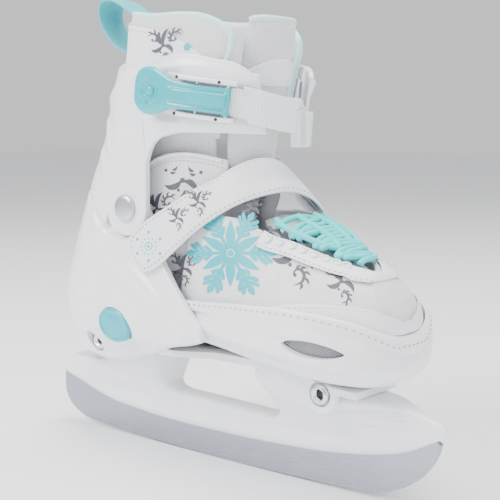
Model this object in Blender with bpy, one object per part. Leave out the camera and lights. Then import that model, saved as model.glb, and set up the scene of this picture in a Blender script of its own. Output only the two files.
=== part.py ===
"""Adjustable children's ice skate, right foot, built as separate pieces.

Frame: +X to the toe, +Y to the inner side of the foot, +Z up.  The origin is where
the middle of the blade touches the ice.  Sizes below are millimetres; MM turns them
into Blender's metres when a mesh is made.
"""
import math

import bmesh
import bpy
import numpy as np
from mathutils import Matrix, Vector

MM = 0.001
GAP = 0.4                      # clearance between neighbouring solid pieces

# ---- driving dimensions -------------------------------------------------------------
BLADE_THICK = 3.0
BLADE_FLAT = 4.0               # half length of the flat ground at the middle of the edge
BLADE_ROCKER = 1620.0          # radius of the running edge
BLADE_HEEL = -127.5            # rearmost point of the blade
BLADE_TOE = 127.5              # foremost point of the blade
BLADE_TANG = 9.0               # depth of the blade's root inside the holder

BOLT_REAR = (-73.5, 57.2)      # x, z of the cross bolts through holder and boot
BOLT_FRONT = (74.1, 50.2)
BOLT_SHANK = 4.0               # diameters
BOLT_HEAD = 10.0
SLEEVE_OUTER = 6.4
SLEEVE_INNER = 4.8

ANKLE = (-36.2, 132.1)         # x, z of the cuff's pivot rivets
RIVET_HEAD = 13.6
RIVET_SHANK = 6.0
LOBE_RADIUS = 14.0             # cuff material round each rivet

HEEL_WALL = 3.0                # wall thicknesses
CUFF_WALL = 2.8
TOE_WALL = 2.6
TUCK_MARGIN = 2.4              # how far outside the cuff's edge the heel shell steps in
LAYER_UPPER = -8.8             # outer face of the textile quarter, inside the shells
UPPER_THICK = 1.3
LINER_THICK = 4.0
COLLAR_PADDING = 3.0           # how much thicker the liner is at the collar

TOE_REAR = -12.0               # rear edge of the toe shell
TOE_ARC = 60.0                 # x where the round of the toe starts
TOE_TIP = 112.5
UPPER_INSET = 2.3              # room between the toe shell and the textile upper
TOE_WIDE = 46.0                # half width at the ball of the foot

CHASSIS_THICK = 3.2
CHASSIS_HALF = 21.0
CHASSIS_FRONT = 92.0
DECK = (65.4, 68.6)            # heel deck, bottom and top
LUG_HALF = 20.4                # outer face of the boot's lugs
LUG_THICK = 3.2

BUTTON = (-46.0, 71.0)         # x, z of the size button
BUTTON_HALF = (11.5, 8.6)      # half length and half height of the oval
RACK_HALF = 12.0
RACK_PITCH = 6.0

RACK_HEIGHT = (63.0, 64.7)     # bottom and top of the size rack
RACK_REAR = -74.0
RACK_SCREWS = (-7, 7)          # y of its two screws
LATCH_STRIP = 1.0              # thickness of the latch bar's strip under the rack
SPRING_TURNS = 4

HOLDER_REAR_HALF = 16.6        # half widths of the two towers
HOLDER_FRONT_HALF = LUG_HALF - 0.3
HOLDER_SIDES = 12
WINDOW = ((-37.0, 38.0), (32.6, 52.4))       # x and z extents of the holder's window
TOWER_TOP_REAR = 56.9
CHANNEL_FLOOR = 61.2           # top of the sole plate under the size rack
LUG_FOOT = 9.0                 # radius of the lug's round foot
REAR_BOLT_HALF = 20.6          # where the bolt heads bear, from the middle plane
FRONT_BOLT_HALF = LUG_HALF - 1.6
REAR_CHEEK = (HOLDER_REAR_HALF + GAP, 22.6)

FOOTBED_THICK = 3.0
VENT = (84.0, 76.0)            # x, z of the middle of each mesh vent
VENT_HALF = (14.0, 3.6)
VAMP_THICK = 1.6
TONGUE_THICK = 5.0
TONGUE_SPLIT = (0.40, 0.545)   # share of its length where the tongue's two parts end
SPLIT_UP = 24.0                # degrees over the pivot where the upper liner starts
SPLIT_LOW = 14.0               # degrees over the pivot where the lower liner ends
CUFF_FRONT = 36.5
LOOP_HALF = 9.0
LOOP_THICK = 1.6
INSTEP_THICK = 2.2
STRAP_BASE_OFF = -2.7
EYESTAY_ANGLE = 12.0
EYESTAY_OFF = 0.8
LACE_RADIUS = 1.5

STRAP_HALF = 8.6               # half height of the ladder strap
STRAP_THICK = 1.6
PAWL_PIN = -13.0               # place of the pawl's pin behind the lever's pin
PAWL_OFF = 5.0
BASE_RIVETS = (-30.0, -22.0)
LEVER_PIN_RADIUS = 0.9
PAWL_PIN_RADIUS = 0.7
BUCKLE_PIN = (27.0, 184.5)     # x, z of the lever's pin
BUCKLE_TILT = math.radians(9.0)
PIN_OFF = 5.8                  # height of the lever's pin over the cuff

# ---- tables of the boot's form: (position, value) -----------------------------------
SHAFT_BACK = [(46, -99), (50, -101), (60, -104.5), (72, -106), (84, -105.5), (94, -103),
              (105, -99), (131, -88.5), (146, -82), (160, -75), (171, -70.5), (190, -64),
              (205, -58), (232, -55)]
SHAFT_FRONT = [(46, 300), (98, 300), (118, 60), (140, 46), (232, 46)]
SHAFT_WIDE = [(46, 20.5), (50, 22), (55, 25), (60, 28.5), (66, 32.5), (75, 35.8), (84, 36.8),
              (95, 37.2), (118, 37.5), (150, 37), (165, 37.5), (185, 39), (232, 39)]
SHAFT_CENTRE = [(46, -58), (84, -57), (105, -52), (131, -44), (146, -40), (171, -27),
                (200, -20), (232, -18)]
SHAFT_FLARE = [(46, 0.085), (95, 0.085), (118, 0.0), (232, 0.0)]
REAR_POWER = 2.3
FRONT_POWER = 2.8
BILGE_POWER = 2.9
COLUMN_BACK = -88.0            # where the columns of the shaft's grid start and end
COLUMN_FRONT = 46.0

TOP_LINE = [(-20, 168), (0, 163), (20, 156), (30, 150), (37, 143), (43, 135.5),
            (48, 129.5), (60, 123), (76, 114.5), (91, 106.5), (98, 102), (103, 97.5),
            (108, 89)]
LEVEL_LINE = [(-20, 85), (60, 83), (85, 81.5), (108, 79)]
TOE_FLOOR = [(TOE_REAR, 65.2), (8, 65.0), (30, 62.4), (60, 58.4), (85, 54.4), (100, 52.0),
             (112, 51.6)]
TOE_RIM = [(TOE_REAR, 89), (16, 90), (46, 92), (75, 92.6), (97, 89), (105, 85),
           (109.5, 80.5), (112, 77)]
HEEL_TOP = [(-106, 146), (-50, 147), (-30, 142), (-20, 122), (-8.5, 106), (2.8, 94.6),
            (12.6, 84.9), (20, 78.5)]
HEEL_LOW = [(-106, 47), (-90, 47.8), (-66, 48.4), (-53.7, 49.8), (-35.3, 54.4),
            (-17.5, 60.6), (-5, 64.6), (12, 68.4), (20, 71)]
CUFF_LOW_REAR = [(-90, 147.5), (-75, 141), (-60, 130.5), (-50.2, 122)]
CUFF_LOW_FRONT = [(-22.2, 154), (-19.5, 160.5), (-15.9, 165.2), (-5.6, 169.2), (14, 170.2),
                  (46, 169)]
CUFF_TOP = [(-60, 210), (-48, 203), (-30, 202), (-12.7, 206), (7, 207.6), (21, 205),
            (32, 202), (36, 198.5), (40, 190)]
TONGUE_PATH = [(94, 100.2), (88, 103.8), (76, 111), (60, 119.2), (50, 123.4), (42, 127.8),
               (33.5, 135.5), (27.5, 145.5), (25, 156), (26, 168), (29.5, 183), (34.5, 202),
               (38, 224.5)]
RAIL_LOW = [(-129.5, 29.4), (-120.6, 27.6), (-108.7, 24.6), (-95, 21.2), (-81.7, 18.6),
            (-62.3, 17), (-43.6, 15.8), (0, 15.3), (45, 16.5), (68.6, 18), (90.4, 20.8),
            (109.5, 25.4), (129.5, 35.4)]
THROAT = [(-20, 60), (36, 44), (48, 34), (60, 28), (76, 22), (90, 14), (97, 5), (100, 1)]
THROAT_END = 99.0
COLLAR_TOP = [(-55, 231), (-40, 229.5), (-20, 227), (0, 226.5), (14, 224.5), (24, 219),
              (30, 211)]
QUARTER_LOW = [(-100, 96), (-20, 96), (0, 106), (15, 118), (32, 134)]
QUARTER_TOP = [(-80, 143), (-45, 145), (-22, 157.5), (-4, 160), (16, 157.5), (32, 153)]
LINER_FRONT = [(70, -6), (100, -4), (120, 5), (150, 12), (165, 13), (185, 20), (200, 24),
               (210, 28), (232, 30)]
QUARTER_FRONT = [(90, 10), (130, 20), (160, 22)]
INSTEP_UPPER = [(-35, -41.2, 114.4), (-19.6, -40.8, 126.4), (-5, -37.4, 135.6),
                (5.3, -33, 142.7), (15, -26.5, 148.6), (23, -21, 154.6), (28.5, -13, 158),
                (31.4, -3, 158.4), (30, 9, 155), (26, 21, 147.5), (21, 31.5, 137)]
INSTEP_LOWER = [(-21.5, -43.4, 100.4), (-10, -43, 104.6), (3.4, -39.6, 116.2),
                (12.5, -34.8, 125), (24, -29.6, 133.5), (33, -23, 138.6), (41, -13, 142),
                (46, -2, 142.4), (48, 11, 138), (46, 24, 129.5), (40, 34, 120)]


# ---- small tools --------------------------------------------------------------------
def smooth(at, table):
    """Cubic curve through a table of (position, value), flat beyond its ends."""
    rows = np.array(table, float)
    x, y = rows[:, 0], rows[:, 1]
    slope = np.diff(y) / np.diff(x)
    end = np.concatenate([slope[:1], (slope[:-1] + slope[1:]) / 2, slope[-1:]])
    at = np.clip(np.asarray(at, float), x[0], x[-1])
    i = np.clip(np.searchsorted(x, at, side="right") - 1, 0, len(x) - 2)
    h = x[i + 1] - x[i]
    t = (at - x[i]) / h
    return ((1 + 2 * t) * (1 - t) ** 2 * y[i] + t * (1 - t) ** 2 * h * end[i]
            + t * t * (3 - 2 * t) * y[i + 1] + t * t * (t - 1) * h * end[i + 1])


def power(value, exponent):
    """Power that keeps the sign."""
    return np.sign(value) * np.abs(value) ** exponent


def step(value):
    """Smooth step from 0 to 1."""
    t = np.clip(value, 0, 1)
    return t * t * (3 - 2 * t)


def material(name, colour, roughness, metallic=0.0):
    made = bpy.data.materials.new(name)
    made.use_nodes = True
    shader = made.node_tree.nodes["Principled BSDF"]
    shader.inputs["Base Color"].default_value = (*colour, 1)
    shader.inputs["Roughness"].default_value = roughness
    shader.inputs["Metallic"].default_value = metallic
    return made


def put(name, mesh, finish):
    """Object of a mesh in the skate's collection."""
    made = bpy.data.objects.new(name, mesh)
    PARTS.objects.link(made)
    mesh.materials.clear()
    mesh.materials.append(material(name + "_finish", *finish))
    return made


def finish_mesh(name, bm, smooth_angle=35):
    """Merge coincident corners, point the faces outwards and shade."""
    bmesh.ops.remove_doubles(bm, verts=bm.verts, dist=0.00001)
    bmesh.ops.dissolve_degenerate(bm, dist=0.000005, edges=bm.edges)
    bmesh.ops.recalc_face_normals(bm, faces=bm.faces)
    mesh = bpy.data.meshes.new(name)
    bm.to_mesh(mesh)
    bm.free()
    mesh.shade_smooth()
    mesh.set_sharp_from_angle(angle=math.radians(smooth_angle))
    return mesh


def two_skin(name, outer, inner, finish, seam=False):
    """Closed shell between two grids of points of equal shape (rows, columns, 3).

    The grids are joined along their open edges.  With seam, the first column is a
    line where both halves meet, and it gets no wall.
    """
    rows, columns = outer.shape[:2]
    bm = bmesh.new()
    skins = [[[bm.verts.new(p * MM) for p in line] for line in skin]
             for skin in (outer, inner)]
    out, inn = skins
    for i in range(rows - 1):
        k = i + 1
        for j in range(columns - 1):
            bm.faces.new((out[i][j], out[k][j], out[k][j + 1], out[i][j + 1]))
            bm.faces.new((inn[i][j], inn[i][j + 1], inn[k][j + 1], inn[k][j]))
        edges = [columns - 1] if seam else [0, columns - 1]
        for j in edges:
            bm.faces.new((out[i][j], inn[i][j], inn[k][j], out[k][j]))
    for i in (0, rows - 1):
        for j in range(columns - 1):
            bm.faces.new((out[i][j], out[i][j + 1], inn[i][j + 1], inn[i][j]))
    return put(name, finish_mesh(name, bm), finish)


def plate(name, outline, low, high, finish=None):
    """Flat outline in X and Z, from y = low to y = high: a filled 2D curve made a mesh."""
    curve = bpy.data.curves.new(name, "CURVE")
    curve.dimensions = "2D"
    curve.fill_mode = "BOTH"
    curve.extrude = (high - low) / 2 * MM
    spline = curve.splines.new("POLY")
    spline.points.add(len(outline) - 1)
    for point, (x, z) in zip(spline.points, outline):
        point.co = (x * MM, z * MM, 0, 1)
    spline.use_cyclic_u = True
    return from_curve(name, curve, finish, (low + high) / 2)


def from_curve(name, curve, finish, middle=None):
    """Mesh object of a curve; with middle, its XY plane is stood up to XZ at that y."""
    holder = bpy.data.objects.new(name + "_curve", curve)
    bpy.context.scene.collection.objects.link(holder)
    if middle is not None:
        holder.matrix_world = Matrix.Translation((0, middle * MM, 0)) @ Matrix.Rotation(
            math.pi / 2, 4, "X")
    bpy.context.view_layer.update()
    evaluated = holder.evaluated_get(bpy.context.evaluated_depsgraph_get())
    raw = bpy.data.meshes.new_from_object(evaluated)
    raw.transform(holder.matrix_world)
    bpy.data.objects.remove(holder)
    bm = bmesh.new()
    bm.from_mesh(raw)
    bpy.data.meshes.remove(raw)
    mesh = finish_mesh(name, bm)
    return put(name, mesh, finish) if finish else guide(name, mesh)


def guide(name, mesh):
    """Cutter or joiner: kept in its own collection and never rendered."""
    made = bpy.data.objects.new(name, mesh)
    CUTTERS.objects.link(made)
    made.hide_render = True
    made.display_type = "WIRE"
    return made


def tube(name, points, radius, finish=None):
    """Round bar along a list of points, with capped ends."""
    curve = bpy.data.curves.new(name, "CURVE")
    curve.dimensions = "3D"
    curve.bevel_depth = radius * MM
    curve.bevel_resolution = 2
    curve.use_fill_caps = True
    spline = curve.splines.new("POLY")
    spline.points.add(len(points) - 1)
    for point, place in zip(spline.points, points):
        point.co = (*[v * MM for v in place], 1)
    return from_curve(name, curve, finish)


def rod(name, start, end, radius, finish=None, sides=24, radius_end=None):
    """Cylinder or cone between two points."""
    a, b = Vector(start) * MM, Vector(end) * MM
    bm = bmesh.new()
    bmesh.ops.create_cone(bm, cap_ends=True, segments=sides, radius1=radius * MM,
                          radius2=(radius if radius_end is None else radius_end) * MM,
                          depth=(b - a).length)
    turn = (b - a).to_track_quat("Z", "Y").to_matrix().to_4x4()
    bmesh.ops.transform(bm, matrix=Matrix.Translation((a + b) / 2) @ turn, verts=bm.verts)
    mesh = finish_mesh(name, bm)
    return put(name, mesh, finish) if finish else guide(name, mesh)


def block(name, low, high, finish=None):
    """Box between two corners."""
    low, high = np.array(low, float), np.array(high, float)
    bm = bmesh.new()
    bmesh.ops.create_cube(bm, size=1)
    size = Matrix.Diagonal((*((high - low) * MM), 1))
    bmesh.ops.transform(bm, matrix=Matrix.Translation((low + high) / 2 * MM) @ size,
                        verts=bm.verts)
    mesh = finish_mesh(name, bm)
    return put(name, mesh, finish) if finish else guide(name, mesh)


def boolean(target, tool, operation="DIFFERENCE", solver="EXACT"):
    change = target.modifiers.new(tool.name, "BOOLEAN")
    change.operation = operation
    change.solver = solver
    change.object = tool


def hang_on(piece, point):
    """Put the piece's origin on its joint's axis."""
    shift = Vector(point) * MM
    piece.data.transform(Matrix.Translation(-shift))
    piece.location = shift


# ---- the boot's form ----------------------------------------------------------------
def shaft_half(x, z):
    """Half width of the shaft's outer face, and its outward direction (x, y) there."""
    centre = smooth(z, SHAFT_CENTRE)
    rear = x <= centre
    reach = np.where(rear, centre - smooth(z, SHAFT_BACK), smooth(z, SHAFT_FRONT) - centre)
    n = np.where(rear, REAR_POWER, FRONT_POWER)
    share = np.clip(np.abs(x - centre) / reach, 0, 1)
    wide = smooth(z, SHAFT_WIDE)
    side = (1 - share ** n) ** (1 / n)
    along = np.where(rear, -1, 1) * share ** (n - 1) / reach
    across = side ** (n - 1) / wide
    size = np.hypot(along, across)
    half = wide * side + smooth(z, SHAFT_FLARE) * np.maximum(x - centre, 0)
    return half, along / size, across / size


def shaft(c, z, off=0.0, front=COLUMN_FRONT):
    """Point of the shaft, off outside its outer face.

    c is 0 at the middle of the heel, 1 at the front on the outer side and -1 at the
    front on the inner side.  Columns of constant c stand upright in front of the
    heel's round and follow the back line behind it.
    """
    c, z, off = np.broadcast_arrays(np.asarray(c, float), np.asarray(z, float),
                                    np.asarray(off, float))
    base = COLUMN_BACK + (front - COLUMN_BACK) * (1 - np.cos(math.pi * np.abs(c))) / 2
    near_back = 1 - step((base - COLUMN_BACK) / 48)
    x = base + (smooth(z, SHAFT_BACK) - COLUMN_BACK) * near_back
    if front == COLUMN_FRONT:
        x = x + (smooth(z, SHAFT_FRONT) - front) * step(base / front) * (z > 139)
    half, along, across = shaft_half(x, z)
    side = -np.sign(c)
    return np.stack([x + off * along, side * (half + off * across), z], -1)


def column_at(x, front=COLUMN_FRONT):
    """Column c of the shaft's grid that stands at x, for x in front of the heel's round."""
    share = (np.asarray(x, float) - COLUMN_BACK) / (front - COLUMN_BACK)
    return np.arccos(1 - 2 * share) / math.pi


def edge_height(c, off, edge, front=COLUMN_FRONT):
    """Height at which each column meets the edge z = edge(x)."""
    c = np.asarray(c, float)
    a, b = np.full(c.shape, 44.0), np.full(c.shape, 235.0)
    for _ in range(45):
        z = (a + b) / 2
        over = z > edge(shaft(c, z, off, front)[..., 0])
        a, b = np.where(over, a, z), np.where(over, z, b)
    return (a + b) / 2


def toe_half(x):
    """Half width of the toe shell's outer face, behind the round of the toe."""
    tucked = shaft_half(x, 80.0)[0] - HEEL_WALL - 0.6
    return tucked + (TOE_WIDE - tucked) * step((x - 22) / 40)


def toe_plan(u, off=0.0):
    """Plan of the toe shell: |u| 0 at the tip, 1 where the round starts, 2 at the rear."""
    u = np.asarray(u, float)
    angle = np.clip(np.abs(u), 0, 1) * math.pi / 2
    x_arc = TOE_ARC + (TOE_TIP - TOE_ARC + off) * np.cos(angle) ** (2 / 2.4)
    y_arc = (TOE_WIDE + off) * np.sin(angle) ** (2 / 2.4)
    back = np.clip(np.abs(u) - 1, 0, 1)
    x = np.where(back > 0, TOE_ARC + (TOE_REAR - TOE_ARC) * back, x_arc)
    y = np.where(back > 0, toe_half(x) + off, y_arc)
    return x, -np.sign(u) * y


def toe_cup(u, v, off=0.0):
    """Point of the toe shell: v is 0 on the floor's middle line and 1 at the rim."""
    u, v = np.broadcast_arrays(np.asarray(u, float), np.asarray(v, float))
    x, y = toe_plan(u, off)
    spine = np.minimum(x, TOE_ARC)
    turn = np.clip(v / 0.8, 0, 1) * math.pi / 2
    reach = np.sin(turn) ** (2 / BILGE_POWER)
    rise = np.where(v < 0.8, 0.72 * (1 - np.cos(turn) ** (2 / BILGE_POWER)),
                    0.72 + 0.28 * (v - 0.8) / 0.2)
    lean = 1 - 0.03 * np.clip((rise - 0.5) / 0.5, 0, 1) * step((x - 20) / 20)
    px = spine + (x - spine) * reach * lean
    floor = smooth(px, TOE_FLOOR) - off
    rim = smooth(x, TOE_RIM)
    return np.stack([px, y * reach * lean, floor + (rim - floor) * rise], -1)


def foot(s, theta, off=0.0):
    """Point of the textile upper: s is x up to TOE_ARC and then degrees round the toe;
    theta is 0 on top and 90 degrees at the outer side."""
    s, theta, off = np.broadcast_arrays(np.asarray(s, float), np.asarray(theta, float),
                                        np.asarray(off, float))
    angle = np.radians(np.clip(s - TOE_ARC, 0, 90))
    tip = TOE_TIP - TOE_WALL - UPPER_INSET
    x = np.where(s <= TOE_ARC, s, TOE_ARC + (tip - TOE_ARC + off) * np.sin(angle))
    fade = np.cos(angle) ** (2 / 2.4)
    wide = (toe_half(np.minimum(x, TOE_ARC)) - TOE_WALL - UPPER_INSET + off) * fade
    level = smooth(x, LEVEL_LINE)
    crown = smooth(x, TOP_LINE) - level + off
    dome = (smooth(TOE_ARC, TOP_LINE) - smooth(TOE_ARC, LEVEL_LINE) + off) * fade ** 0.8
    upper = np.where(s <= TOE_ARC, crown, np.clip(crown, 0.001, dome))
    y = -wide * power(np.sin(theta), 2 / 2.1)
    z = level + np.where(np.abs(theta) < math.pi / 2, upper, 14.0) * power(np.cos(theta), 2 / 2.1)
    return np.stack([x, y, z], -1)


def tongue(t, psi, off=0.0):
    """Point of the tongue: t runs 0 to 1 from toe to top, psi is the angle across it."""
    rows = np.array(TONGUE_PATH, float)
    run = np.concatenate([[0], np.cumsum(np.hypot(*np.diff(rows, axis=0).T))])
    along = np.asarray(t, float) * run[-1]
    x = smooth(along, list(zip(run, rows[:, 0])))
    z = smooth(along, list(zip(run, rows[:, 1])))
    ahead = np.minimum(along + 0.5, run[-1])
    behind = np.maximum(along - 0.5, 0)
    dx = smooth(ahead, list(zip(run, rows[:, 0]))) - smooth(behind, list(zip(run, rows[:, 0])))
    dz = smooth(ahead, list(zip(run, rows[:, 1]))) - smooth(behind, list(zip(run, rows[:, 1])))
    size = np.hypot(dx, dz)
    radius = 25.0 + off
    drop = off - radius * (1 - np.cos(psi))
    return np.stack(np.broadcast_arrays(x + dz / size * drop, -radius * np.sin(psi),
                                        z - dx / size * drop), -1)


# ---- edges of the shells ------------------------------------------------------------
def line(table):
    return lambda x: smooth(x, table)


def cuff_low(x):
    """Lower edge of the cuff: rear, round lobe at the rivet, post and band."""
    reach = np.clip(LOBE_RADIUS ** 2 - (x - ANKLE[0]) ** 2, 0, None)
    lobe = ANKLE[1] - np.sqrt(reach)
    post = CUFF_LOW_FRONT[0][0]
    return np.where(x > post, smooth(x, CUFF_LOW_FRONT),
                    np.where(x > ANKLE[0] - LOBE_RADIUS, lobe, smooth(x, CUFF_LOW_REAR)))


def tuck_line(x):
    """Where the heel shell steps inwards, TUCK_MARGIN outside the cuff's lower edge."""
    reach = np.clip((LOBE_RADIUS + TUCK_MARGIN) ** 2 - (x - ANKLE[0]) ** 2, 0, None)
    lobe = ANKLE[1] - np.sqrt(reach)
    rear = smooth(x, CUFF_LOW_REAR) - TUCK_MARGIN
    return np.where(x > ANKLE[0] - LOBE_RADIUS - TUCK_MARGIN, np.minimum(lobe, rear), rear)


def rows_between(low, high, count):
    """Heights from low to high in equal steps, one row of them for each column."""
    share = np.linspace(0, 1, count)
    return low[:, None] + (high - low)[:, None] * share


def mirrored(values):
    """Values from 0 up, continued with their negatives in reverse before them."""
    values = np.asarray(values, float)
    return np.concatenate([-values[::-1], values[values > 0]])


WHITE = ((0.86, 0.87, 0.90), 0.32)
CLOTH = ((0.80, 0.80, 0.80), 0.85)
TEAL = ((0.05, 0.62, 0.68), 0.35)
STEEL = ((0.62, 0.63, 0.65), 0.28, 1.0)
GREY = ((0.35, 0.35, 0.38), 0.8)


# ---- pieces: runner -----------------------------------------------------------------
def rail_tang(x):
    """Height of the blade's root above the holder's lower edge."""
    return BLADE_TANG - 4.5 * step((np.abs(x) - 95) / 25)


def blade_outline(grow=0.0):
    """Side outline of the blade, running edge first, from the toe's tip to the heel's."""
    toe = np.radians(np.linspace(0, 80, 12))
    front_x, rear_x = 84.0, -100.0
    rise = lambda x: max(abs(x) - BLADE_FLAT, 0) ** 2 / (2 * BLADE_ROCKER)
    points = [(front_x + (BLADE_TOE - front_x + grow) * math.sin(a),
               rise(front_x) + 36 * (1 - math.cos(a))) for a in toe[::-1]]
    points += [(x, rise(x)) for x in np.linspace(60, BLADE_FLAT, 5)]
    points += [(x, rise(x)) for x in np.linspace(-BLADE_FLAT, -80, 6)]
    points += [(rear_x + (BLADE_HEEL - rear_x - grow) * math.sin(a),
                rise(rear_x) + 17 * (1 - math.cos(a)))
               for a in np.radians(np.linspace(0, 86, 10))]
    root = np.linspace(-121 - grow, 121 + grow, 18)
    points += [(BLADE_HEEL - grow, float(smooth(BLADE_HEEL, RAIL_LOW)) + 1.5)]
    points += [(x, float(smooth(x, RAIL_LOW) + rail_tang(x)) + grow) for x in root]
    return points


def holder_half(x, z):
    """Half thickness of the holder: rail, two towers and the top bar."""
    tip = np.clip(np.abs(x) / 131.0, 0, 1)
    rail = 7.8 * (1 - tip ** 3.2) ** 0.55 + 0.6
    rear = step((-34.0 - x) / 5) * (1 - 0.75 * step((-x - 96) / 34))
    front = step((x - 30.0) / 5) * (1 - step((x - 62) / 66))
    climb = step((z - 24) / 27)
    tower = rear * (HOLDER_REAR_HALF - rail) * climb + front * (HOLDER_FRONT_HALF - rail) * climb
    bar = (rear < 0.01) & (front < 0.01) & (z > 45)
    half = np.where(bar, 4.2, rail + np.maximum(tower, 0))
    inside = np.maximum(shaft_half(x, z)[0] - HEEL_WALL - 1.4, 1.5)
    return np.where((x < -50) & (z > 43.5), np.minimum(half, inside), half)


def chassis_top(x):
    return smooth(x, TOE_FLOOR) - GAP


def chassis_under(x):
    """Underside of the base's sole plate: high under the heel, then along the toe floor."""
    return np.minimum(chassis_top(x) - CHASSIS_THICK, CHANNEL_FLOOR - CHASSIS_THICK)


def holder_rings():
    """Matching outer and window outlines of the holder, each a list of (x, z)."""
    (x0, x1), (z0, z1) = WINDOW
    top = lambda x: float(chassis_under(x)) - GAP
    legs = [
        (([(x, float(smooth(x, RAIL_LOW))) for x in np.linspace(-40, 44, 8)]),
         [(x, z0 - 2.4 * (x - x0) / (x1 - x0)) for x in np.linspace(x0 + 6, x1 - 4, 8)]),
        (([(x, float(smooth(x, RAIL_LOW))) for x in np.linspace(55, 129.5, 11)]),
         [(x1 - 4 + 5 * math.sin(a), z0 + 1.6 - 4 * math.cos(a))
          for a in np.radians(np.linspace(8, 90, 11))]),
        ([(129.8, 37.4), (126.5, 41.0), (116, 44.6), (105, 48.0), (97.5, 48.6), (91, top(91)),
          (82, top(82)), (74, top(74)), (65, top(65)), (55, top(55)), (45, top(45)),
          (37, top(37))],
         [(x1 + 1 - 5.5 * t, z0 + 2.4 + (z1 - z0 - 4.4) * t) for t in np.linspace(0.05, 1, 12)]),
        ([(x, 56.2) for x in np.linspace(29, -28, 7)],
         [(x, z1) for x in np.linspace(29, -28, 7)]),
        ([(-35, 56.4), (-44, TOWER_TOP_REAR), (-58, TOWER_TOP_REAR), (-72, TOWER_TOP_REAR),
          (-84, TOWER_TOP_REAR), (-92, TOWER_TOP_REAR - 0.4)],
         [(x0 + 2.5, z1 - 0.4), (x0 + 0.8, z1 - 1.6), (x0 + 0.3, z1 - 4), (x0, z1 - 6.5),
          (x0, z1 - 9), (x0 - 0.3, z1 - 11)]),
        ([(-94.8, 50.5), (-97.2, 45.2), (-108, 44.0), (-116.5, 40.4), (-124.5, 34.8),
          (-130.4, 30.6)],
         [(x0 - 0.6, z1 - 12.5), (x0 - 0.8, z1 - 14), (x0 - 0.8, z1 - 15.2),
          (x0 - 0.6, z1 - 16.3), (x0 - 0.1, z1 - 17.3), (x0 + 0.8, z1 - 18.2)]),
        ([(x, float(smooth(x, RAIL_LOW))) for x in np.linspace(-126, -50, 9)],
         [(x0 + 1.6 + 0.5 * k, z1 - 18.8 - 0.12 * k) for k in range(9)]),
    ]
    outer = [p for leg in legs for p in leg[0]]
    inner = [p for leg in legs for p in leg[1]]
    return np.array(outer), np.array(inner)


def build_holder():
    outer, inner = holder_rings()
    around = np.linspace(0, 2 * math.pi, HOLDER_SIDES, endpoint=False)
    across = (1 - power(np.cos(around), 0.55)) / 2
    x = outer[:, None, 0] + (inner[:, 0] - outer[:, 0])[:, None] * across
    z = outer[:, None, 1] + (inner[:, 1] - outer[:, 1])[:, None] * across
    y = -holder_half(x, z) * power(np.sin(around), 0.42)
    bm = bmesh.new()
    ring = [[bm.verts.new(Vector(p) * MM) for p in zip(*row)] for row in zip(x, y, z)]
    count = len(ring)
    for i in range(count):
        for j in range(HOLDER_SIDES):
            k, m = (i + 1) % count, (j + 1) % HOLDER_SIDES
            bm.faces.new((ring[i][j], ring[k][j], ring[k][m], ring[i][m]))
    holder = put("blade_holder", finish_mesh("blade_holder", bm, 40), WHITE)
    room = BLADE_THICK / 2 + 0.3
    slot = blade_outline(grow=0.3)
    boolean(holder, plate("cut_blade_slot", slot, -room, room))
    for name, (bx, bz) in (("rear", BOLT_REAR), ("front", BOLT_FRONT)):
        hole = rod("cut_holder_bolt_" + name, (bx, -30, bz), (bx, 30, bz),
                   SLEEVE_OUTER / 2 + GAP)
        boolean(holder, hole)
    for side in (-1, 1):
        a, b = sorted((side * (LUG_HALF - LUG_THICK - GAP), side * 30.0))
        boolean(holder, plate("cut_lug_seat_%d" % side, lug_outline(GAP), a, b))
    return holder


def lug_outline(grow=0.0):
    """Side outline of the front lug: a plate that narrows to a round foot at the bolt."""
    bx, bz = BOLT_FRONT
    r = LUG_FOOT + grow
    start = math.radians(-132)
    foot_arc = [(bx + r * math.cos(a), bz + r * math.sin(a))
                for a in np.linspace(start, 0, 10)]
    top = 1.2 + grow
    front = bx + r
    return ([(30 - grow, float(chassis_top(30)) - CHASSIS_THICK + 0.5)] + foot_arc
            + [(front, float(chassis_top(front)) - CHASSIS_THICK + top),
               (50, float(chassis_top(50)) - CHASSIS_THICK + top),
               (30 - grow, float(chassis_top(30)) - CHASSIS_THICK + top)])


def build_fasteners():
    for name, (bx, bz), half in (("rear", BOLT_REAR, REAR_BOLT_HALF),
                                 ("front", BOLT_FRONT, FRONT_BOLT_HALF)):
        head = rod("%s_bolt" % name, (bx, -half - 3.0, bz), (bx, -half, bz),
                   BOLT_HEAD / 2, STEEL, 28)
        shank = rod("join_%s_shank" % name, (bx, -half - 0.5, bz), (bx, half - 4, bz),
                    BOLT_SHANK / 2)
        boolean(head, shank, "UNION")
        boolean(head, rod("cut_%s_socket" % name, (bx, -half - 5, bz), (bx, -half - 1.2, bz),
                          2.5, sides=6))
        nut = rod("%s_sleeve_nut" % name, (bx, half, bz), (bx, half + 2.4, bz),
                  BOLT_HEAD / 2, STEEL, 28)
        boolean(nut, rod("join_%s_sleeve" % name, (bx, -half + 4.0, bz),
                         (bx, half + 0.5, bz), SLEEVE_OUTER / 2), "UNION")
        boolean(nut, rod("cut_%s_sleeve" % name, (bx, -half, bz), (bx, half - 3, bz),
                         SLEEVE_INNER / 2))


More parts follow.
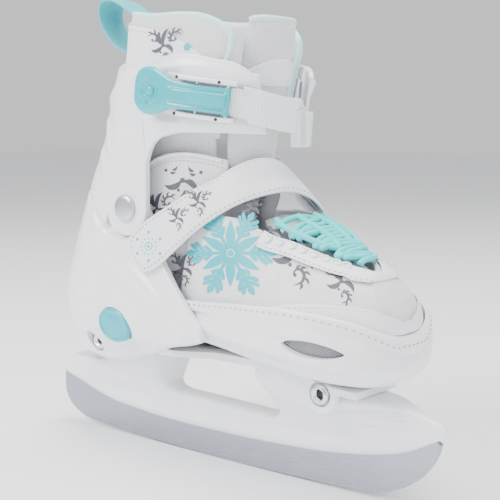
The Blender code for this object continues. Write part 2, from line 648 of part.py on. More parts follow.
# ---- pieces: base of the boot ------------------------------------------------------
def build_heel_shell():
    front = HEEL_TOP[-1][0]
    post, ahead = (float(column_at(CUFF_LOW_FRONT[0][0] + step, front)) for step in (0.5, 2.5))
    columns = mirrored(np.concatenate([np.linspace(0, post - 0.03, 9), [post, ahead],
                                       np.linspace(ahead + 0.05, 1, 5)]))
    low = edge_height(columns, 0, line(HEEL_LOW), front)
    high = edge_height(columns, 0, line(HEEL_TOP), front)
    joggle = np.minimum(edge_height(columns, 0, tuck_line, front), high - 3.0)
    z = np.concatenate([rows_between(low, joggle, 8), rows_between(joggle + 1.6, high, 4)], 1)
    c = columns[:, None]
    under_cuff = (np.abs(columns) < (post + ahead) / 2)[:, None] * (np.arange(z.shape[1]) >= 8)
    tuck = CUFF_WALL + GAP + 0.3
    outer = shaft(c, z, -tuck * under_cuff, front)
    inner = shaft(c, z, -HEEL_WALL - (tuck - 0.4) * under_cuff, front)
    shell = two_skin("heel_shell", outer, inner, WHITE)
    # deck under the heel, sole plate under the rack and toe, cheeks and lugs
    boolean(shell, deck_solid(), "UNION", "MANIFOLD")
    boolean(shell, sole_plate(), "UNION", "MANIFOLD")
    boolean(shell, spring_seat(), "UNION", "MANIFOLD")
    for side in (-1, 1):
        near, far = REAR_CHEEK
        a, b = sorted((side * near, side * far))
        cheek = block("join_rear_cheek_%d" % side, (-91, a, 50.3), (-50, b, 59.4))
        boolean(shell, cheek, "UNION", "MANIFOLD")
        a, b = sorted((side * (LUG_HALF - LUG_THICK), side * LUG_HALF))
        boolean(shell, plate("join_front_lug_%d" % side, lug_outline(), a, b), "UNION", "MANIFOLD")
    for name, (bx, bz), half in (("rear", BOLT_REAR, REAR_BOLT_HALF),
                                 ("front", BOLT_FRONT, FRONT_BOLT_HALF)):
        boolean(shell, rod("cut_shell_bolt_" + name, (bx, -50, bz), (bx, 50, bz),
                           SLEEVE_OUTER / 2 + GAP), solver="MANIFOLD")
        for side in (-1, 1):
            boolean(shell, rod("cut_bore_%s_%d" % (name, side), (bx, side * (half - GAP), bz),
                               (bx, side * 50, bz), BOLT_HEAD / 2 + 1.0),
                    solver="MANIFOLD")
    boolean(shell, rod("cut_ankle", (ANKLE[0], -50, ANKLE[1]), (ANKLE[0], 50, ANKLE[1]),
                       RIVET_SHANK / 2 + GAP), solver="MANIFOLD")
    hole = oval("cut_button_hole", BUTTON_HALF[0] + GAP, BUTTON_HALF[1] + GAP, -50, -28)
    boolean(shell, hole, solver="MANIFOLD")
    slot = block("cut_latch_slot", (BUTTON[0] - 7, -33.4, CHANNEL_FLOOR),
                 (BUTTON[0] + 7, -25.2, DECK[1] + 4.4))
    boolean(shell, slot, solver="MANIFOLD")


def deck_solid():
    """Heel deck: fills the heel from wall to wall, as a plate of DECK height."""
    front = HEEL_TOP[-1][0]
    columns = mirrored(np.linspace(0, float(column_at(TOE_REAR - GAP - 0.6, front)), 8))
    outer = shaft(columns[:, None], np.array(DECK), -HEEL_WALL + 1.2, front)
    bm = bmesh.new()
    rings = [[bm.verts.new(p * MM) for p in outer[:, j]] for j in (0, 1)]
    bm.faces.new(rings[0])
    bm.faces.new(rings[1])
    for i in range(len(columns)):
        k = (i + 1) % len(columns)
        bm.faces.new((rings[0][i], rings[0][k], rings[1][k], rings[1][i]))
    return guide("join_deck", finish_mesh("join_deck", bm))


def sole_plate():
    """Plate from the heel to the front lugs; as wide as the shell behind, then narrower."""
    stations = np.concatenate([np.linspace(-96, -10, 9), np.linspace(0, CHASSIS_FRONT, 10)])
    top = np.minimum(chassis_top(stations), CHANNEL_FLOOR)
    low = top - CHASSIS_THICK
    wall = shaft_half(stations, 60.0)[0] - HEEL_WALL + 1.0
    half = CHASSIS_HALF + (wall - CHASSIS_HALF) * step((6 - stations) / 12)
    half = np.where(stations > CHASSIS_FRONT - 12,
                    CHASSIS_HALF - 4 * step((stations - CHASSIS_FRONT + 12) / 12), half)
    bm = bmesh.new()
    loops = [[bm.verts.new(Vector(p) * MM) for p in
              ((x, -h, b), (x, h, b), (x, h, t), (x, -h, t))]
             for x, h, b, t in zip(stations, half, low, top)]
    for a, b in zip(loops, loops[1:]):
        for i in range(4):
            k = (i + 1) % 4
            bm.faces.new((a[i], a[k], b[k], b[i]))
    bm.faces.new(loops[0])
    bm.faces.new(loops[-1])
    return guide("join_sole_plate", finish_mesh("join_sole_plate", bm))


def oval(name, half_x, half_z, low, high, finish=None):
    """Elliptic plate round the size button's axis, tilted as the button is."""
    tilt = math.radians(-14)
    turn = np.linspace(0, 2 * math.pi, 28, endpoint=False)
    ex, ez = half_x * np.cos(turn), half_z * np.sin(turn)
    points = list(zip(BUTTON[0] + ex * math.cos(tilt) - ez * math.sin(tilt),
                      BUTTON[1] + ex * math.sin(tilt) + ez * math.cos(tilt)))
    return plate(name, points, low, high, finish)


def build_button():
    """Size button, its latch bar and the spring behind it.

    The bar's strip runs under the rack; its tooth stands up beyond the rack's far
    edge, where the spring holds it in a notch until the button is pressed.
    """
    face = -(float(shaft_half(BUTTON[0], BUTTON[1])[0]) + 2.6)
    back = face + 4.4
    stem_end = -31.4
    button = oval("size_button", *BUTTON_HALF, face, back, TEAL)
    stem = rod("join_button_stem", (BUTTON[0], back - 1, BUTTON[1]),
               (BUTTON[0], stem_end, BUTTON[1]), 4.0)
    boolean(button, stem, "UNION")
    low = CHANNEL_FLOOR + GAP
    web_back = stem_end + GAP + 1.6
    bar = block("latch_bar", (BUTTON[0] - 6.5, stem_end + GAP, low),
                (BUTTON[0] + 6.5, web_back, DECK[1] + 3.8), STEEL)
    strip = block("join_latch_strip", (BUTTON[0] - 2.5, web_back - 1, low),
                  (BUTTON[0] + 2.5, RACK_HALF + 3.0, low + LATCH_STRIP))
    tooth = block("join_latch_tooth", (BUTTON[0] - 1.1, RACK_HALF + GAP, low + 0.2),
                  (BUTTON[0] + 1.1, RACK_HALF + 2.6, RACK_HEIGHT[1]))
    boolean(bar, strip, "UNION")
    boolean(bar, tooth, "UNION")
    seat = -RACK_HALF - 3.0
    turn = np.linspace(0, 2 * math.pi * SPRING_TURNS, SPRING_TURNS * 8 + 1)
    start = web_back + GAP + 0.3
    end = seat - GAP - 0.3
    coil = [(BUTTON[0] + 4.6 + 1.1 * math.cos(t), start + (end - start) * t / turn[-1],
             low + 1.7 + 1.1 * math.sin(t)) for t in turn]
    tube("latch_spring", coil, 0.3, STEEL)


def spring_seat():
    """Small wall on the sole plate that the latch spring pushes against."""
    seat = -RACK_HALF - 3.0
    return block("join_spring_seat", (BUTTON[0] + 2.9, seat, CHANNEL_FLOOR - 1),
                 (BUTTON[0] + 6.3, seat + 1.8, DECK[0] + 1))


def build_footbed():
    """Insole: a slab that lies on the heel deck and runs down over the toe floor."""
    stations = np.concatenate([[-97], np.linspace(-92, 88, 16), [94]])
    deck = smooth(stations, [(-100, DECK[1] + GAP), (-36, DECK[1] + GAP), (-14, 69.6), (22, 69.9), (30, 69.2),
                             (60, 65.4), (94, 61.2)])
    half = smooth(stations, [(-97, 9), (-92, 17), (-80, 22), (-50, 24), (-17, 23), (-10, 19), (30, 18),
                             (60, 19), (80, 17), (90, 12), (94, 8)])
    sides = np.linspace(-1, 1, 7)
    grid = lambda lift: np.stack([np.repeat(stations[:, None], 7, 1), -half[:, None] * sides,
                                  (deck + lift)[:, None] + 0 * sides], -1)
    return two_skin("footbed", grid(FOOTBED_THICK), grid(0.0), GREY)


# ---- pieces: toe half --------------------------------------------------------------
def toe_columns(count_arc, count_side):
    return mirrored(np.concatenate([np.linspace(0, 1, count_arc),
                                    np.linspace(1, 2, count_side)[1:]]))


def build_toe_shell():
    u = toe_columns(8, 7)
    v = np.array([0, 0.2, 0.38, 0.52, 0.64, 0.74, 0.82, 0.91, 1.0])
    outer = toe_cup(u[:, None], v)
    inner = toe_cup(u[:, None], v, -TOE_WALL)
    inner[:, -1, 2] = outer[:, -1, 2]
    shell = two_skin("toe_shell", outer, inner, WHITE, seam=True)
    for side in (-1, 1):
        boolean(shell, vent_cutter(side))
    for y in RACK_SCREWS:
        boolean(shell, rod("cut_floor_screw_%d" % y, (0, y, 60), (0, y, 72), 1.9))
    return shell


def vent_cutter(side):
    """Almond-shaped plug across the toe shell's wall at the vent."""
    turn = np.linspace(0, 2 * math.pi, 20, endpoint=False)
    along = VENT_HALF[0] * np.cos(turn)
    up = VENT_HALF[1] * np.sin(turn) * np.abs(np.sin(turn)) ** 0.5
    x, z = VENT[0] + along, VENT[1] - 0.12 * along + up
    share = np.clip((x - TOE_ARC) / (TOE_TIP - TOE_ARC), 0, 1)
    y = TOE_WIDE * (1 - share ** 2.4) ** (1 / 2.4)
    bm = bmesh.new()
    rings = [[bm.verts.new(Vector((px + 0.45 * reach, side * (py + reach), pz)) * MM)
              for px, py, pz in zip(x, y, z)] for reach in (-6, 6)]
    for ring in rings:
        bm.faces.new(ring)
    for i in range(len(turn)):
        k = (i + 1) % len(turn)
        bm.faces.new((rings[0][i], rings[0][k], rings[1][k], rings[1][i]))
    return guide("cut_vent_%d" % side, finish_mesh("cut_vent_%d" % side, bm))


def build_vents():
    """Mesh inserts behind the toe shell's vents."""
    for side, word in ((1, "outer"), (-1, "inner")):
        u = side * np.linspace(0.46, 0.97, 7)[:, None]
        v = np.linspace(0.62, 0.86, 4)
        two_skin("vent_mesh_" + word, toe_cup(u, v, -TOE_WALL - 0.5),
                 toe_cup(u, v, -TOE_WALL - 1.2), GREY)


def build_rack():
    """Size rack under the heel deck, screwed to the toe shell's floor."""
    low, high = RACK_HEIGHT
    rack = block("size_rack", (RACK_REAR, -RACK_HALF, low), (8, RACK_HALF, high), WHITE)
    teeth = int((-18 - RACK_REAR) / RACK_PITCH)
    for i in range(teeth):
        x = RACK_REAR + 5 + i * RACK_PITCH
        boolean(rack, block("cut_notch_%d" % i, (x, RACK_HALF - 2.2, low - 1),
                            (x + 3, RACK_HALF + 1, high + 1)))
    for y in RACK_SCREWS:
        boolean(rack, rod("cut_rack_screw_%d" % y, (0, y, 60), (0, y, 70), 1.9))
        floor = float(smooth(0, TOE_FLOOR)) + TOE_WALL
        screw = rod("rack_screw_%s" % ("outer" if y < 0 else "inner"),
                    (0, y, low + 0.3), (0, y, floor + 0.9), 1.5, STEEL, 16)
        boolean(screw, rod("join_screw_head_%d" % y, (0, y, floor + GAP + 0.1),
                           (0, y, floor + 1.3), 2.8, sides=16), "UNION")


def upper_grid(rows_side, columns, low_angle, off, start):
    """Grid on the textile upper from the throat's edge down to low_angle.

    It runs from the outer side round the toe to the inner side.  start(theta) gives
    the rear edge by angle.
    """
    side = np.linspace(0, 1, rows_side)
    lines = []
    share = np.linspace(0, 1, columns)
    for t in side:
        s_top = start + (THROAT_END - start) * t
        theta_top = np.radians(smooth(s_top, THROAT))
        s_low = (start - 8) + (TOE_ARC - start + 8) * t / 0.62 if t < 0.62 else (
            TOE_ARC + 90 * (t - 0.62) / 0.38)
        s = s_top + (s_low - s_top) * share ** 0.8
        theta = theta_top + (np.radians(low_angle) - theta_top) * share
        lines.append(foot(s, theta, off))
    half = np.array(lines)
    inner_side = half[::-1].copy()
    inner_side[..., 1] *= -1
    return half, inner_side


def u_grid(rows_side, columns, low_angle, off, start):
    """Grid of the upper round the whole toe, its two halves meeting on the middle plane."""
    half, other = upper_grid(rows_side, columns, low_angle, off, start)
    half = half.copy()
    half[-1, :, 1] = 0
    return np.concatenate([half, other[1:]])


def build_upper():
    outer = u_grid(12, 7, 104, 0.0, 4.0)
    inner = u_grid(12, 7, 104, -VAMP_THICK, 4.0)
    two_skin("vamp", outer, inner, CLOTH)


# ---- pieces: liner, tongue and quarter ----------------------------------------------
def shaft_band(name, front, low, high, outer_off, inner_off, rows=6):
    """Cloth band on the shaft, open at the front.

    front gives x of its front edge by height, low and high its edges by x.
    """
    share = mirrored(np.linspace(0, 1, 10))
    edges = []
    for edge in (low, high):
        at = np.full(share.shape, 150.0)
        for _ in range(6):
            at = edge_height(share * column_at(front(at)), outer_off(at), edge)
        edges.append(at)
    z = rows_between(*edges, rows)
    c = share[:, None] * column_at(front(z))
    return two_skin(name, shaft(c, z, outer_off(z)), shaft(c, z, inner_off(z)), CLOTH)


def liner_off(z):
    """Outer face of the liner: inside the quarter, then filling the cuff above it."""
    inside = LAYER_UPPER - UPPER_THICK - 2.4
    above = -CUFF_WALL - 1.2
    return inside + 1.6 * step((z - 163) / 10) + (above - inside - 1.6) * step((z - 174) / 12)


def liner_inner(z):
    return liner_off(z) - LINER_THICK - COLLAR_PADDING * step((z - 176) / 12)


def split_line(angle, rear_lift):
    slope = math.tan(math.radians(angle))
    return lambda x: ANKLE[1] + np.where(x > ANKLE[0], slope * (x - ANKLE[0]),
                                         0.06 * (ANKLE[0] - x)) + rear_lift


def build_liner():
    front = line(LINER_FRONT)
    shaft_band("liner_collar", front, split_line(SPLIT_UP, 2.4), line(COLLAR_TOP),
               liner_off, liner_inner, 8)
    floor = DECK[1] + GAP + FOOTBED_THICK + 0.6
    shaft_band("liner_heel", front, lambda x: floor + 0.10 * np.maximum(x + 50, 0),
               split_line(SPLIT_LOW, -0.6), liner_off, liner_inner)
    shaft_band("quarter", line(QUARTER_FRONT), line(QUARTER_LOW), line(QUARTER_TOP),
               lambda z: LAYER_UPPER + 0 * z, lambda z: LAYER_UPPER - UPPER_THICK + 0 * z)


def tongue_piece(name, t0, t1, rows, half_angle):
    psi = np.radians(np.linspace(-half_angle, half_angle, 9))
    t = np.linspace(t0, t1, rows)[:, None]
    return two_skin(name, tongue(t, psi), tongue(t, psi, -TONGUE_THICK), CLOTH)


def build_tongue():
    tongue_piece("tongue_toe", 0.0, TONGUE_SPLIT[0], 9, 34)
    tongue_piece("tongue_top", TONGUE_SPLIT[1], 1.0, 9, 50)


# ---- pieces: cuff ------------------------------------------------------------------
def build_cuff():
    post = float(column_at(CUFF_LOW_FRONT[0][0]))
    c = mirrored(np.concatenate([np.linspace(0, post - 0.09, 7), np.linspace(post - 0.075, post, 5),
                                 post + np.array([0.004, 0.016, 0.03, 0.06]),
                                 np.linspace(post + 0.1, float(column_at(CUFF_FRONT)), 7)]))
    low = edge_height(c, 0, cuff_low)
    high = edge_height(c, 0, line(CUFF_TOP))
    z = rows_between(low, high, 7)
    cuff = two_skin("cuff_shell", shaft(c[:, None], z), shaft(c[:, None], z, -CUFF_WALL), WHITE)
    boolean(cuff, rod("cut_cuff_rivet", (ANKLE[0], -50, ANKLE[1]), (ANKLE[0], 50, ANKLE[1]),
                      RIVET_SHANK / 2 + GAP))
    return cuff


def build_rivets():
    x, z = ANKLE
    face = float(shaft_half(x, z)[0])
    for side, word in ((-1, "outer"), (1, "inner")):
        out, deep = side * (face + GAP), side * (face - CUFF_WALL - HEEL_WALL - 1.6)
        head = rod("ankle_rivet_" + word, (x, out, z), (x, side * (face + 2.2), z),
                   RIVET_HEAD / 2, STEEL, 32, RIVET_HEAD / 2 - 1.0)
        boolean(head, rod("join_rivet_shank_" + word, (x, out + side * 0.5, z), (x, deep, z),
                          RIVET_SHANK / 2), "UNION")
        washer_a = side * (face - CUFF_WALL - HEEL_WALL - 1.0 - 0.2)
        washer_b = washer_a - side * 1.0
        washer = rod("ankle_washer_" + word, (x, washer_a, z), (x, washer_b, z), 5.6, STEEL, 24)
        boolean(washer, rod("cut_washer_" + word, (x, washer_a + side, z),
                            (x, washer_b - side, z), RIVET_SHANK / 2 + 0.3))


def build_pull_loop():
    path = [(-54.2, 213.8), (-64, 213.8), (-73.5, 218), (-81.5, 226.5), (-84.5, 234),
            (-83, 239.4), (-77, 240.4), (-69, 237.2), (-60, 231.6), (-52.8, 227)]
    fine = np.linspace(0, 1, 17)
    run = np.linspace(0, 1, len(path))
    x = smooth(fine, list(zip(run, [p[0] for p in path])))
    z = smooth(fine, list(zip(run, [p[1] for p in path])))
    nx, nz = -np.gradient(z), np.gradient(x)
    size = np.hypot(nx, nz)
    width = np.linspace(-LOOP_HALF, LOOP_HALF, 3)
    skin = lambda off: np.stack(np.broadcast_arrays(
        (x + off * nx / size)[:, None], width, (z + off * nz / size)[:, None]), -1)
    two_skin("pull_loop", skin(LOOP_THICK), skin(0.0), TEAL)


# ---- pieces: buckle ----------------------------------------------------------------
def buckle(s, t, off):
    """Point of the buckle's own frame: s to the front along the strap, t up across it."""
    s, t, off = np.broadcast_arrays(*(np.asarray(v, float) for v in (s, t, off)))
    x = BUCKLE_PIN[0] + s * math.cos(BUCKLE_TILT) + t * math.sin(BUCKLE_TILT)
    z = BUCKLE_PIN[1] - s * math.sin(BUCKLE_TILT) + t * math.cos(BUCKLE_TILT)
    half, along, across = shaft_half(x, z)
    return np.stack([x + off * along, -(half + off * across), z], -1)


def patch(name, s, half, low, high, finish, middle=0.0, rows=5):
    """Solid over the cuff: stations s, half height, and its lower and upper skins."""
    s = np.asarray(s, float)
    half, low, high = (np.broadcast_to(np.asarray(v, float), s.shape) for v in (half, low, high))
    t = middle + half[:, None] * np.linspace(-1, 1, rows)
    return two_skin(name, buckle(s[:, None], t, high[:, None]),
                    buckle(s[:, None], t, low[:, None]), finish)


def build_buckle():
    base = patch("buckle_base", np.linspace(-36, 3, 9), 9.6, GAP, 1.5, WHITE)
    for sign in (-1, 1):
        rail = patch("join_rail_%d" % sign, np.linspace(-25, 3, 7), 1.1, 1.0, 7.4, WHITE,
                     middle=sign * 8.5, rows=2)
        move_to_cutters(rail)
        boolean(base, rail, "UNION", "MANIFOLD")
    a, b = (buckle(0, t, PIN_OFF) for t in (-9.9, 9.9))
    boolean(base, rod("cut_base_pin", a - (b - a), b + (b - a), LEVER_PIN_RADIUS + 0.3),
            solver="MANIFOLD")
    rod("lever_pin", a, b, LEVER_PIN_RADIUS, STEEL, 16)
    a, b = (buckle(PAWL_PIN, t, PAWL_OFF) for t in (-9.9, 9.9))
    boolean(base, rod("cut_base_pawl_pin", a - (b - a), b + (b - a), PAWL_PIN_RADIUS + 0.3),
            solver="MANIFOLD")
    rod("pawl_pin", a, b, PAWL_PIN_RADIUS, STEEL, 12)
    for i, place in enumerate(BASE_RIVETS):
        low, top = (buckle(place, 0, off) for off in (-CUFF_WALL - 0.9, 2.3))
        rivet = rod("buckle_rivet_%d" % (i + 1), low, top, 1.5, STEEL, 16)
        boolean(rivet, rod("join_rivet_cap_%d" % i, buckle(place, 0, 2.0),
                           buckle(place, 0, 2.7), 2.8, sides=20), "UNION")
        for target in (base, bpy.data.objects["cuff_shell"]):
            boolean(target, rod("cut_rivet_%s_%d" % (target.name, i), buckle(place, 0, -8),
                                buckle(place, 0, 9), 1.5 + 0.3), solver="MANIFOLD")


def move_to_cutters(piece):
    PARTS.objects.unlink(piece)
    CUTTERS.objects.link(piece)
    piece.hide_render = True
    piece.display_type = "WIRE"


def build_lever():
    s = np.array([-47.5, -46.6, -44, -40, -36, -32, -28, -24.5, -21, -17, -12, -7, -3, 0])
    half = np.array([2.5, 6, 9.4, 11.2, 11.4, 10.2, 8.4, 7.0, 6.4, 6.2, 6.0, 6.0, 6.0, 6.0])
    low = np.array([4.4, 4.2, 4.0, 3.8, 3.8, 4.6, 5.6, 6.4, 6.8, 7.2, 7.2, 7.0, 6.6, 6.4])
    high = low + np.array([2, 3, 3.8, 4.2, 4.4, 4.0, 3.2, 2.6, 2.4, 2.2, 2.0, 1.8, 1.6, 1.2])
    lever = patch("buckle_lever", s, half, low, high, TEAL)
    a, b = (buckle(0, t, PIN_OFF) for t in (-6.6, 6.6))
    boolean(lever, rod("join_lever_barrel", a, b, 1.9, sides=20), "UNION")
    boolean(lever, rod("cut_lever_pin", a - (b - a), b + (b - a), LEVER_PIN_RADIUS + 0.25,
                       sides=16))
    hang_on(lever, buckle(0, 0, PIN_OFF))


def build_pawl():
    s = np.linspace(PAWL_PIN + 0.8, -5.5, 5)
    pawl = patch("ratchet_pawl", s, 4.6, PAWL_OFF - 0.4, PAWL_OFF + 0.5, WHITE, rows=3)
    a, b = (buckle(PAWL_PIN, t, PAWL_OFF) for t in (-4.6, 4.6))
    boolean(pawl, rod("join_pawl_barrel", a, b, 1.5, sides=16), "UNION")
    boolean(pawl, rod("cut_pawl_pin", a - (b - a), b + (b - a), PAWL_PIN_RADIUS + 0.25,
                      sides=12))
    hang_on(pawl, buckle(PAWL_PIN, 0, PAWL_OFF))


def build_ladder_strap():
    """Ladder strap from the buckle round the front to its rivet on the inner side."""
    turn = np.concatenate([np.linspace(0.735, 0.84, 6), np.linspace(0.86, 1.0, 9)])
    full = np.concatenate([turn, 2 - np.linspace(0.72, 0.98, 13)[::-1]])
    c = np.where(full <= 1, full, full - 2)
    middle = smooth(full, [(0.70, 186.5), (0.77, 184.4), (0.84, 181.4), (0.93, 176.0),
                           (1.0, 172.6), (1.1, 171.8), (1.3, 173)])
    t = np.linspace(-STRAP_HALF, STRAP_HALF, 4)
    half = np.where(full < 0.80, 0.80, 1.0)
    z = middle[:, None] + t * half[:, None]
    lift = smooth(full, [(0.70, 2.0), (0.82, 2.1), (0.88, 2.3), (0.925, 1.3), (0.96, 0.7),
                         (1.3, 0.6)])
    low = shaft(c[:, None], z, lift[:, None])
    high = shaft(c[:, None], z, lift[:, None] + STRAP_THICK)
    strap = two_skin("ladder_strap", high, low, WHITE)
    place = 2 - 0.735
    mid = float(smooth(place, [(1.1, 171.8), (1.3, 173)]))
    spot = lambda off: shaft(place - 2, mid, off)
    rivet = rod("strap_rivet", spot(-CUFF_WALL - 0.9), spot(0.6 + STRAP_THICK + 0.8), 1.5,
                STEEL, 16)
    boolean(rivet, rod("join_strap_rivet", spot(0.6 + STRAP_THICK + 0.5),
                       spot(0.6 + STRAP_THICK + 1.2), 3.0, sides=20), "UNION")
    for target in (strap, bpy.data.objects["cuff_shell"]):
        boolean(target, rod("cut_strap_%s" % target.name, spot(-8), spot(9), 1.5 + 0.3))


# ---- pieces: instep strap and laces --------------------------------------------------
def instep(t, w, off):
    """Point of the instep strap: t along it from its free end, w across from -1 to 1."""
    steps = np.linspace(0, 1, len(INSTEP_UPPER))
    edge = lambda table, at: np.stack([smooth(at, list(zip(steps, [p[k] for p in table])))
                                       for k in range(3)], -1)
    t, w = np.broadcast_arrays(np.asarray(t, float), np.asarray(w, float))
    place = lambda at: (edge(INSTEP_UPPER, at) * (1 - w[..., None]) / 2
                        + edge(INSTEP_LOWER, at) * (1 + w[..., None]) / 2)
    run = place(np.minimum(t + 0.01, 1)) - place(np.maximum(t - 0.01, 0))
    across = edge(INSTEP_LOWER, t) - edge(INSTEP_UPPER, t)
    out = np.cross(across, run)
    return place(t) + off * out / np.linalg.norm(out, axis=-1, keepdims=True)


def build_instep_strap():
    t = np.linspace(0, 1, 19)[:, None]
    w = np.linspace(-1, 1, 4)
    strap = two_skin("instep_strap", instep(t, w, 0.0), instep(t, w, -INSTEP_THICK), WHITE)
    t = np.linspace(0.24, 0.9, 13)[:, None]
    two_skin("strap_base", instep(t, w * 0.7, STRAP_BASE_OFF),
             instep(t, w * 0.7, STRAP_BASE_OFF - 1.0), GREY)
    hang_on(strap, instep(1.0, 0.0, -INSTEP_THICK / 2))


def build_lace():
    """Lace: one run that crosses the throat from side to side."""
    turns = [(50, 28), (55, -25.5), (61, 23.5), (67, -21), (73, 19), (79, -17), (85, 13),
             (90, -9)]
    steps = np.linspace(0, 1, len(turns))
    fine = np.linspace(0, 1, 36)
    s = smooth(fine, list(zip(steps, [row[0] for row in turns])))
    theta = np.radians(smooth(fine, list(zip(steps, [row[1] for row in turns]))))
    tube("lace", foot(s, theta, 0.4), LACE_RADIUS, TEAL)


def build_trim():
    """Eyestay round the throat and leatherette rand over the toe."""
    start = 45.0
    half = []
    for t in np.linspace(0, 1, 13):
        s = start + (THROAT_END - 1 - start) * t
        theta = math.radians(float(smooth(s, THROAT)))
        wide = math.radians(EYESTAY_ANGLE) * (1 + 0.5 * t)
        half.append((s + 4.0 * t ** 3, theta, theta + wide))
    grid = lambda off: np.array([[foot(s + 5 * k * (s > 90), a + (b - a) * k, off)
                                  for k in (0.0, 0.5, 1.0)] for s, a, b in half])
    def whole(off):
        one = grid(off)
        one[-1, :, 1] = 0
        other = one[::-1].copy()
        other[..., 1] *= -1
        return np.concatenate([one, other[1:]])
    two_skin("eyestay", whole(EYESTAY_OFF + 1.1), whole(EYESTAY_OFF), WHITE)
    s = np.concatenate([np.linspace(44, TOE_ARC, 4), TOE_ARC + np.linspace(8, 84, 11)])
    tops = np.radians(smooth(s, [(44, 88), (60, 78), (95, 62), (130, 48), (150, 40)]))
    share = np.linspace(0, 1, 4)
    theta = tops[:, None] + (np.radians(84) - tops)[:, None] * share
    def rand(off):
        one = foot(s[:, None], theta, off)
        other = one[::-1].copy()
        other[..., 1] *= -1
        return np.concatenate([one, other])
    two_skin("toe_rand", rand(0.3 + 0.8), rand(0.3), WHITE)


# ---- the whole skate ---------------------------------------------------------------
for old in list(bpy.data.objects):
    bpy.data.objects.remove(old, do_unlink=True)
PARTS = bpy.data.collections.new("ice_skate")
CUTTERS = bpy.data.collections.new("cutters")
bpy.context.scene.collection.children.link(PARTS)
bpy.context.scene.collection.children.link(CUTTERS)

plate("blade", blade_outline(), -BLADE_THICK / 2, BLADE_THICK / 2, STEEL)
build_holder()
build_heel_shell()
build_fasteners()
build_button()
build_footbed()
build_toe_shell()
build_vents()
build_rack()
build_upper()
build_liner()
build_tongue()
build_cuff()
build_rivets()
build_pull_loop()
build_buckle()
build_lever()
build_pawl()
build_ladder_strap()
build_instep_strap()
build_lace()
build_trim()
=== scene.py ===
"""Visual model of an adjustable children's ice skate, dressed over its fixed CAD frame.

Every form is worked out in millimetres with numpy and turned into metres when its mesh
is made.  +X points to the toe, -Y is the outer side of the boot and +Z is up.
"""
import logging
import math
from dataclasses import dataclass
from enum import Enum
from typing import Callable, Iterable, Optional, Sequence

import bmesh
import bpy
import numpy as np
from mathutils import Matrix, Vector


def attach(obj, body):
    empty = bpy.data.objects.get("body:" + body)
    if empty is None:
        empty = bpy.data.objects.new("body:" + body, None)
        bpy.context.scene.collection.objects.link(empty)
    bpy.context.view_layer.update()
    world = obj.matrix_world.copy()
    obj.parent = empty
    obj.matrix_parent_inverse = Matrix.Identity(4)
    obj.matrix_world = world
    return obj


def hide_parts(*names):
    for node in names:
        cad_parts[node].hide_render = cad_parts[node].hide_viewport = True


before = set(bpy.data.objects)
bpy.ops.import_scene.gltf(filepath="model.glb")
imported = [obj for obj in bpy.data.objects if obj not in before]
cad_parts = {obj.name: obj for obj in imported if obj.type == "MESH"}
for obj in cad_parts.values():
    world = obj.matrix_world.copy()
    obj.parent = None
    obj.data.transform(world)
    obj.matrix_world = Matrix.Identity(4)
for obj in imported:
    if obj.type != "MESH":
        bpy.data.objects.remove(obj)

LOG = logging.getLogger("skate")
MM = 0.001
Array = np.ndarray
Point = tuple[float, float]
Table = Sequence[Point]
Place = Callable[..., Array]
Curve = Callable[[Array], Array]
Relief = Callable[[Array, Array], Array]
Piece = bpy.types.Object
Socket = bpy.types.NodeSocket
Node = bpy.types.Node


# ---- curves and steps ----------------------------------------------------------------
def smooth(at: Array, table: Table) -> Array:
    """Cubic Hermite curve through a table, each slope the mean of its neighbours'.

    Args:
        at: positions, clipped to the table's ends.
        table: rows of (position, value).
    Returns:
        The curve's values.
    """
    rows = np.array(table, float)
    x, y = rows[:, 0], rows[:, 1]
    slope = np.diff(y) / np.diff(x)
    end = np.concatenate([slope[:1], (slope[:-1] + slope[1:]) / 2, slope[-1:]])
    at = np.clip(np.asarray(at, float), x[0], x[-1])
    i = np.clip(np.searchsorted(x, at, side="right") - 1, 0, len(x) - 2)
    h = x[i + 1] - x[i]
    t = (at - x[i]) / h
    return ((1 + 2 * t) * (1 - t) ** 2 * y[i] + t * (1 - t) ** 2 * h * end[i]
            + t * t * (3 - 2 * t) * y[i + 1] + t * t * (t - 1) * h * end[i + 1])


def power(value: Array, exponent: float) -> Array:
    """Power of the size of a value, with its sign kept."""
    return np.sign(value) * np.abs(value) ** exponent


def spread(*values: Array) -> list[Array]:
    """The values as numbers with one common shape."""
    return np.broadcast_arrays(*(np.asarray(value, float) for value in values))


def circle(count: int) -> Array:
    """Even angles once round, the last one short of the first."""
    return np.linspace(0, 2 * math.pi, count, endpoint=False)


def across(turn: Array, square: float) -> Array:
    """Share from 0 to 1 and back as an angle goes round a superellipse."""
    return (1 - power(np.cos(turn), square)) / 2


def step(value: Array) -> Array:
    """Smooth step: 3t^2 - 2t^3 with t held between 0 and 1."""
    t = np.clip(value, 0, 1)
    return t * t * (3 - 2 * t)


def line(table: Table) -> Curve:
    """The smooth curve of a table as a function."""
    return lambda x: smooth(x, table)


def flow(points: Sequence[Sequence[float]], count: int) -> Array:
    """Smooth curve through points in any number of dimensions.

    Args:
        points: the points, evenly spread over the curve's parameter.
        count: how many points come out.
    """
    rows = np.array(points, float)
    knots = np.linspace(0, 1, len(rows))
    at = np.linspace(0, 1, count)
    return np.stack([smooth(at, np.stack([knots, rows[:, k]], 1))
                     for k in range(rows.shape[1])], -1)


def nearest(x: Array, z: Array, path: Sequence[Sequence[float]]) -> Array:
    """Distance in the side view from each point to a smooth line."""
    p = flow(path, 28)
    start, run = p[:-1], np.diff(p, axis=0)
    best = np.full(np.shape(x), 1e9)
    for a, ab in zip(start, run):
        t = np.clip(((x - a[0]) * ab[0] + (z - a[1]) * ab[1]) / (ab @ ab), 0, 1)
        best = np.minimum(best, np.hypot(x - a[0] - t * ab[0], z - a[1] - t * ab[1]))
    return best


